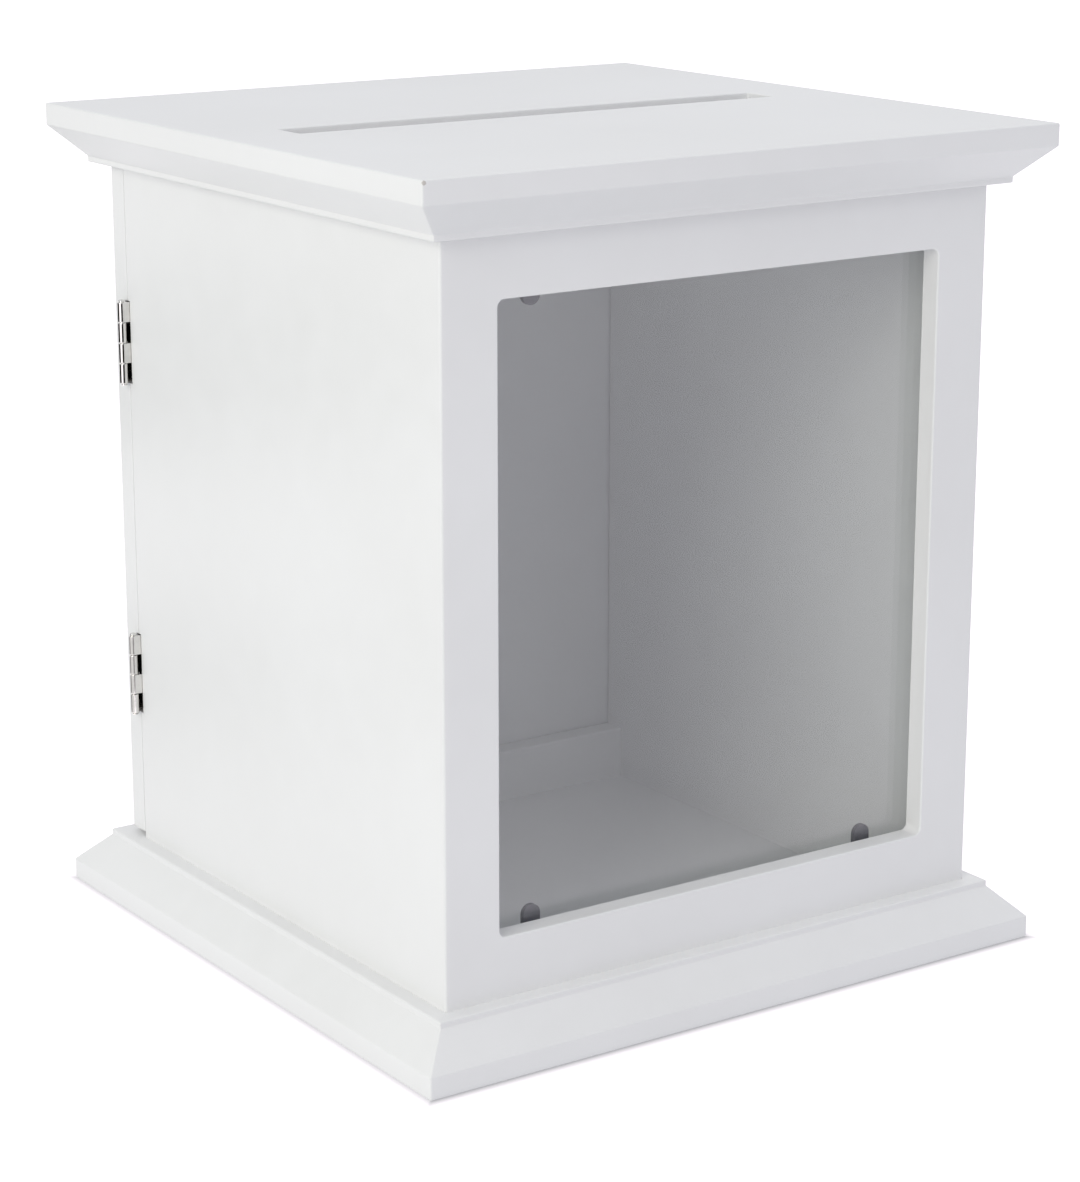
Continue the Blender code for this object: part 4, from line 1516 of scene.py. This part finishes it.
@dataclass(frozen=True)
class CamLock:
    """The cam lock: threaded housing and bezel, nut, plug, cam, screw and key."""

    box: BoxSizes
    bright: Plated = NICKEL
    dull: Plated = ZINC
    barrel: float = 0.0080
    bezel: float = 0.0105
    bezel_thickness: float = 0.0018
    bore: float = 0.0050
    sides: int = 64
    ease: float = 0.0005
    fine: float = 0.0002
    nut_ease: float = 0.0004
    plug_ease: float = 0.00025
    cam_ease: float = 0.0003
    screw_ease: float = 0.0002
    key_ease: float = 0.00025

    def build_housing(self) -> None:
        """Build the housing, turned about its bore: barrel, bezel with a round rim, and bore."""
        low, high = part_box("lock_housing")
        step = high.y - self.bezel_thickness
        corners = [(self.bore, low.y), (self.barrel, low.y), (self.barrel, step)]
        corners += [(self.bezel, step), (self.bezel, high.y), (self.bore, high.y)]
        radii = (0.0, self.ease, 0.0, self.fine, 2 * self.ease, self.ease / 2)
        line = Outline(tuple(corners), radii, support=self.fine)
        shell = Shell()
        shell.add_turned(line.ring(), (0.0, 0.0, self.box.lock_z), Axis.Y, self.sides)
        shell.piece("lock_housing", "plated", self.bright, Body.DOOR)

    def build(self) -> None:
        """Build the housing, and the parts whose plain form only needs its edges eased."""
        self.build_housing()
        rework("lock_nut", self.dull, Body.DOOR, self.nut_ease)
        rework("lock_plug", self.bright, Body.PLUG, self.plug_ease)
        rework("lock_cam", self.dull, Body.PLUG, self.cam_ease)
        rework("lock_cam_screw", self.dull, Body.PLUG, self.screw_ease)
        rework("door_key", self.bright, Body.KEY, self.key_ease)


# The studio


class Surround(Enum):
    """The pale surround's six sides: the way to each, and its light."""

    LEFT = ((-1.0, 0.0, 0.0), (0.57, 0.60, 0.62))
    RIGHT = ((1.0, 0.0, 0.0), (0.98, 0.98, 1.01))
    FRONT = ((0.0, -1.0, 0.0), (0.43, 0.43, 0.50))
    BACK = ((0.0, 1.0, 0.0), (0.74, 0.74, 0.76))
    UP = ((0.0, 0.0, 1.0), (0.97, 0.99, 1.02))
    DOWN = ((0.0, 0.0, -1.0), (1.02, 1.04, 1.06))


@dataclass(frozen=True)
class StageQuad:
    """One flat face of the studio, which some kinds of ray pass by."""

    name: str
    finish: Finish
    points: tuple[Triple, ...]
    unseen: tuple[Ray, ...]

    def build(self) -> None:
        """Put the face in the scene."""
        mesh = bpy.data.meshes.new(self.name)
        mesh.from_pydata(self.points, [], [(0, 1, 2, 3)])
        mesh.materials.append(self.finish.material())
        quad = bpy.data.objects.new(self.name, mesh)
        for ray in self.unseen:
            setattr(quad, ray.value, False)
        bpy.context.scene.collection.objects.link(quad)


def card(name: str, finish: ReflectionCard, start: Pair, end: Pair, height: Pair) -> StageQuad:
    """Stand up a card beside the hinges, seen in glossy surfaces and nowhere else.

    Args:
        name: the card's name.
        finish: its tone.
        start: its first end on the ground plan.
        end: its other end.
        height: how high its foot and its head stand.

    Returns:
        The card.
    """
    foot, head = height
    points = ((*start, foot), (*end, foot), (*end, head), (*start, head))
    return StageQuad(name, finish, points, (Ray.CAMERA, Ray.DIFFUSE, Ray.SHADOW, Ray.TRANSMISSION))


# Painted reflections: the black and grey cards paint the dark lines in the hinges' barrels, and the
# pale card paints the lower hinge's highlight dimmer.
CARDS = (
    card("back_black_card", BLACK, (-0.140, 0.427), (-0.501, 0.190), (0.165, 0.260)),
    card("back_grey_card", GREY, (-0.140, 0.427), (-0.425, 0.240), (0.002, 0.065)),
    card("front_black_card", BLACK, (-0.484, -0.199), (-0.147, -0.328), (0.130, 0.240)),
    card("front_grey_card", GREY, (-0.365, -0.133), (-0.158, -0.212), (0.002, 0.050)),
    card("left_pale_card", PALE, (-0.427, 0.239), (-0.367, -0.132), (0.002, 0.060)),
)


@dataclass(frozen=True)
class Studio:
    """A plain pale floor, soft lights, cards that paint reflections into the hinges, and the camera
    where the photograph was taken.
    """

    box: BoxSizes
    cards: tuple[StageQuad, ...] = CARDS
    camera_place: Triple = (-0.8124, -1.1839, 0.5411)
    yaw: float = 0.6017
    pitch: float = 0.2620
    lens_mm: float = 97.18
    sensor_mm: float = 36.0
    floor_half: float = 9.0
    lamp_place: Triple = (-2.3, -1.1, 1.0)
    lamp_aim: Triple = (0.0, 0.0, 0.19)
    lamp_size: float = 1.6
    lamp_watts: float = 28.6
    lamp_colour: Triple = (1.0, 0.98, 0.88)

    def build_floor(self) -> None:
        """Lay the level square under the box."""
        half = self.floor_half
        points = ((-half, -half, 0.0), (half, -half, 0.0), (half, half, 0.0), (-half, half, 0.0))
        white = FloorWhite("floor_white", "stage", foot=self.box.reach)
        StageQuad("studio_floor", white, points, (Ray.DIFFUSE, Ray.SHADOW)).build()

    def build_soft_box(self) -> None:
        """Hang the square soft box: tipped from straight down by its slope, then turned."""
        lamp = bpy.data.lights.new("soft_box", "AREA")
        lamp.shape = "SQUARE"
        lamp.size = self.lamp_size
        lamp.energy = self.lamp_watts
        lamp.color = self.lamp_colour
        x, y, z = np.asarray(self.lamp_aim) - np.asarray(self.lamp_place)
        holder = bpy.data.objects.new("soft_box", lamp)
        holder.location = self.lamp_place
        holder.rotation_euler = (math.atan2(math.hypot(x, y), -z), 0.0, math.atan2(-x, y))
        bpy.context.scene.collection.objects.link(holder)

    def build_surround(self) -> None:
        """Light the surround: the sum of each side's light times max(0, way . side) squared."""
        world = bpy.data.worlds.new("studio_surround")
        world.use_nodes = True
        graph = Graph(world.node_tree)
        way = graph.node("ShaderNodeTexCoord", {}, {}, "Generated")
        light = (0.0, 0.0, 0.0)
        for side in Surround:
            toward, colour = side.value
            held = graph.reckon("MAXIMUM", graph.vector("DOT_PRODUCT", way, toward, "Value"))
            inputs = {0: colour, "Scale": held * held}
            part = graph.node("ShaderNodeVectorMath", {"operation": "SCALE"}, inputs)
            light = graph.vector("ADD", part, light)
        glow = graph.node("ShaderNodeBackground", {}, {"Color": light, "Strength": 1.0})
        graph.node("ShaderNodeOutputWorld", {}, {"Surface": glow})
        bpy.context.scene.world = world

    def build_camera(self) -> None:
        """Stand the camera, level across, turned by the yaw and tipped down by the pitch."""
        data = bpy.data.cameras.new("studio_camera")
        data.lens = self.lens_mm
        data.sensor_width = self.sensor_mm
        camera = bpy.data.objects.new("studio_camera", data)
        camera.location = self.camera_place
        camera.rotation_euler = (math.pi / 2 - self.pitch, 0.0, -self.yaw)
        bpy.context.scene.collection.objects.link(camera)
        bpy.context.scene.camera = camera
        view = bpy.context.scene.view_settings
        view.view_transform = "Standard"
        view.look = "None"
        view.exposure = 0.0
        view.gamma = 1.0

    def build(self) -> None:
        """Build everything round the box."""
        self.build_floor()
        self.build_surround()
        self.build_soft_box()
        for quad in self.cards:
            quad.build()
        self.build_camera()


def main() -> None:
    """Build each sub-assembly in order, then the studio round them."""
    logging.basicConfig(level=logging.INFO, format="%(name)s: %(message)s")
    box = BoxSizes()
    boards = Boards(box)
    hinges = (Hinge("upper_hinge", 0.2692), Hinge("lower_hinge", 0.1092))
    boards.build()
    Mouldings(box, boards).build()
    WindowFront(box).build()
    Carcass(box, hinges).build()
    RearDoor(box, hinges).build()
    for hinge in hinges:
        hinge.build()
    CamLock(box).build()
    Studio(box).build()


if __name__ == "__main__":
    main()
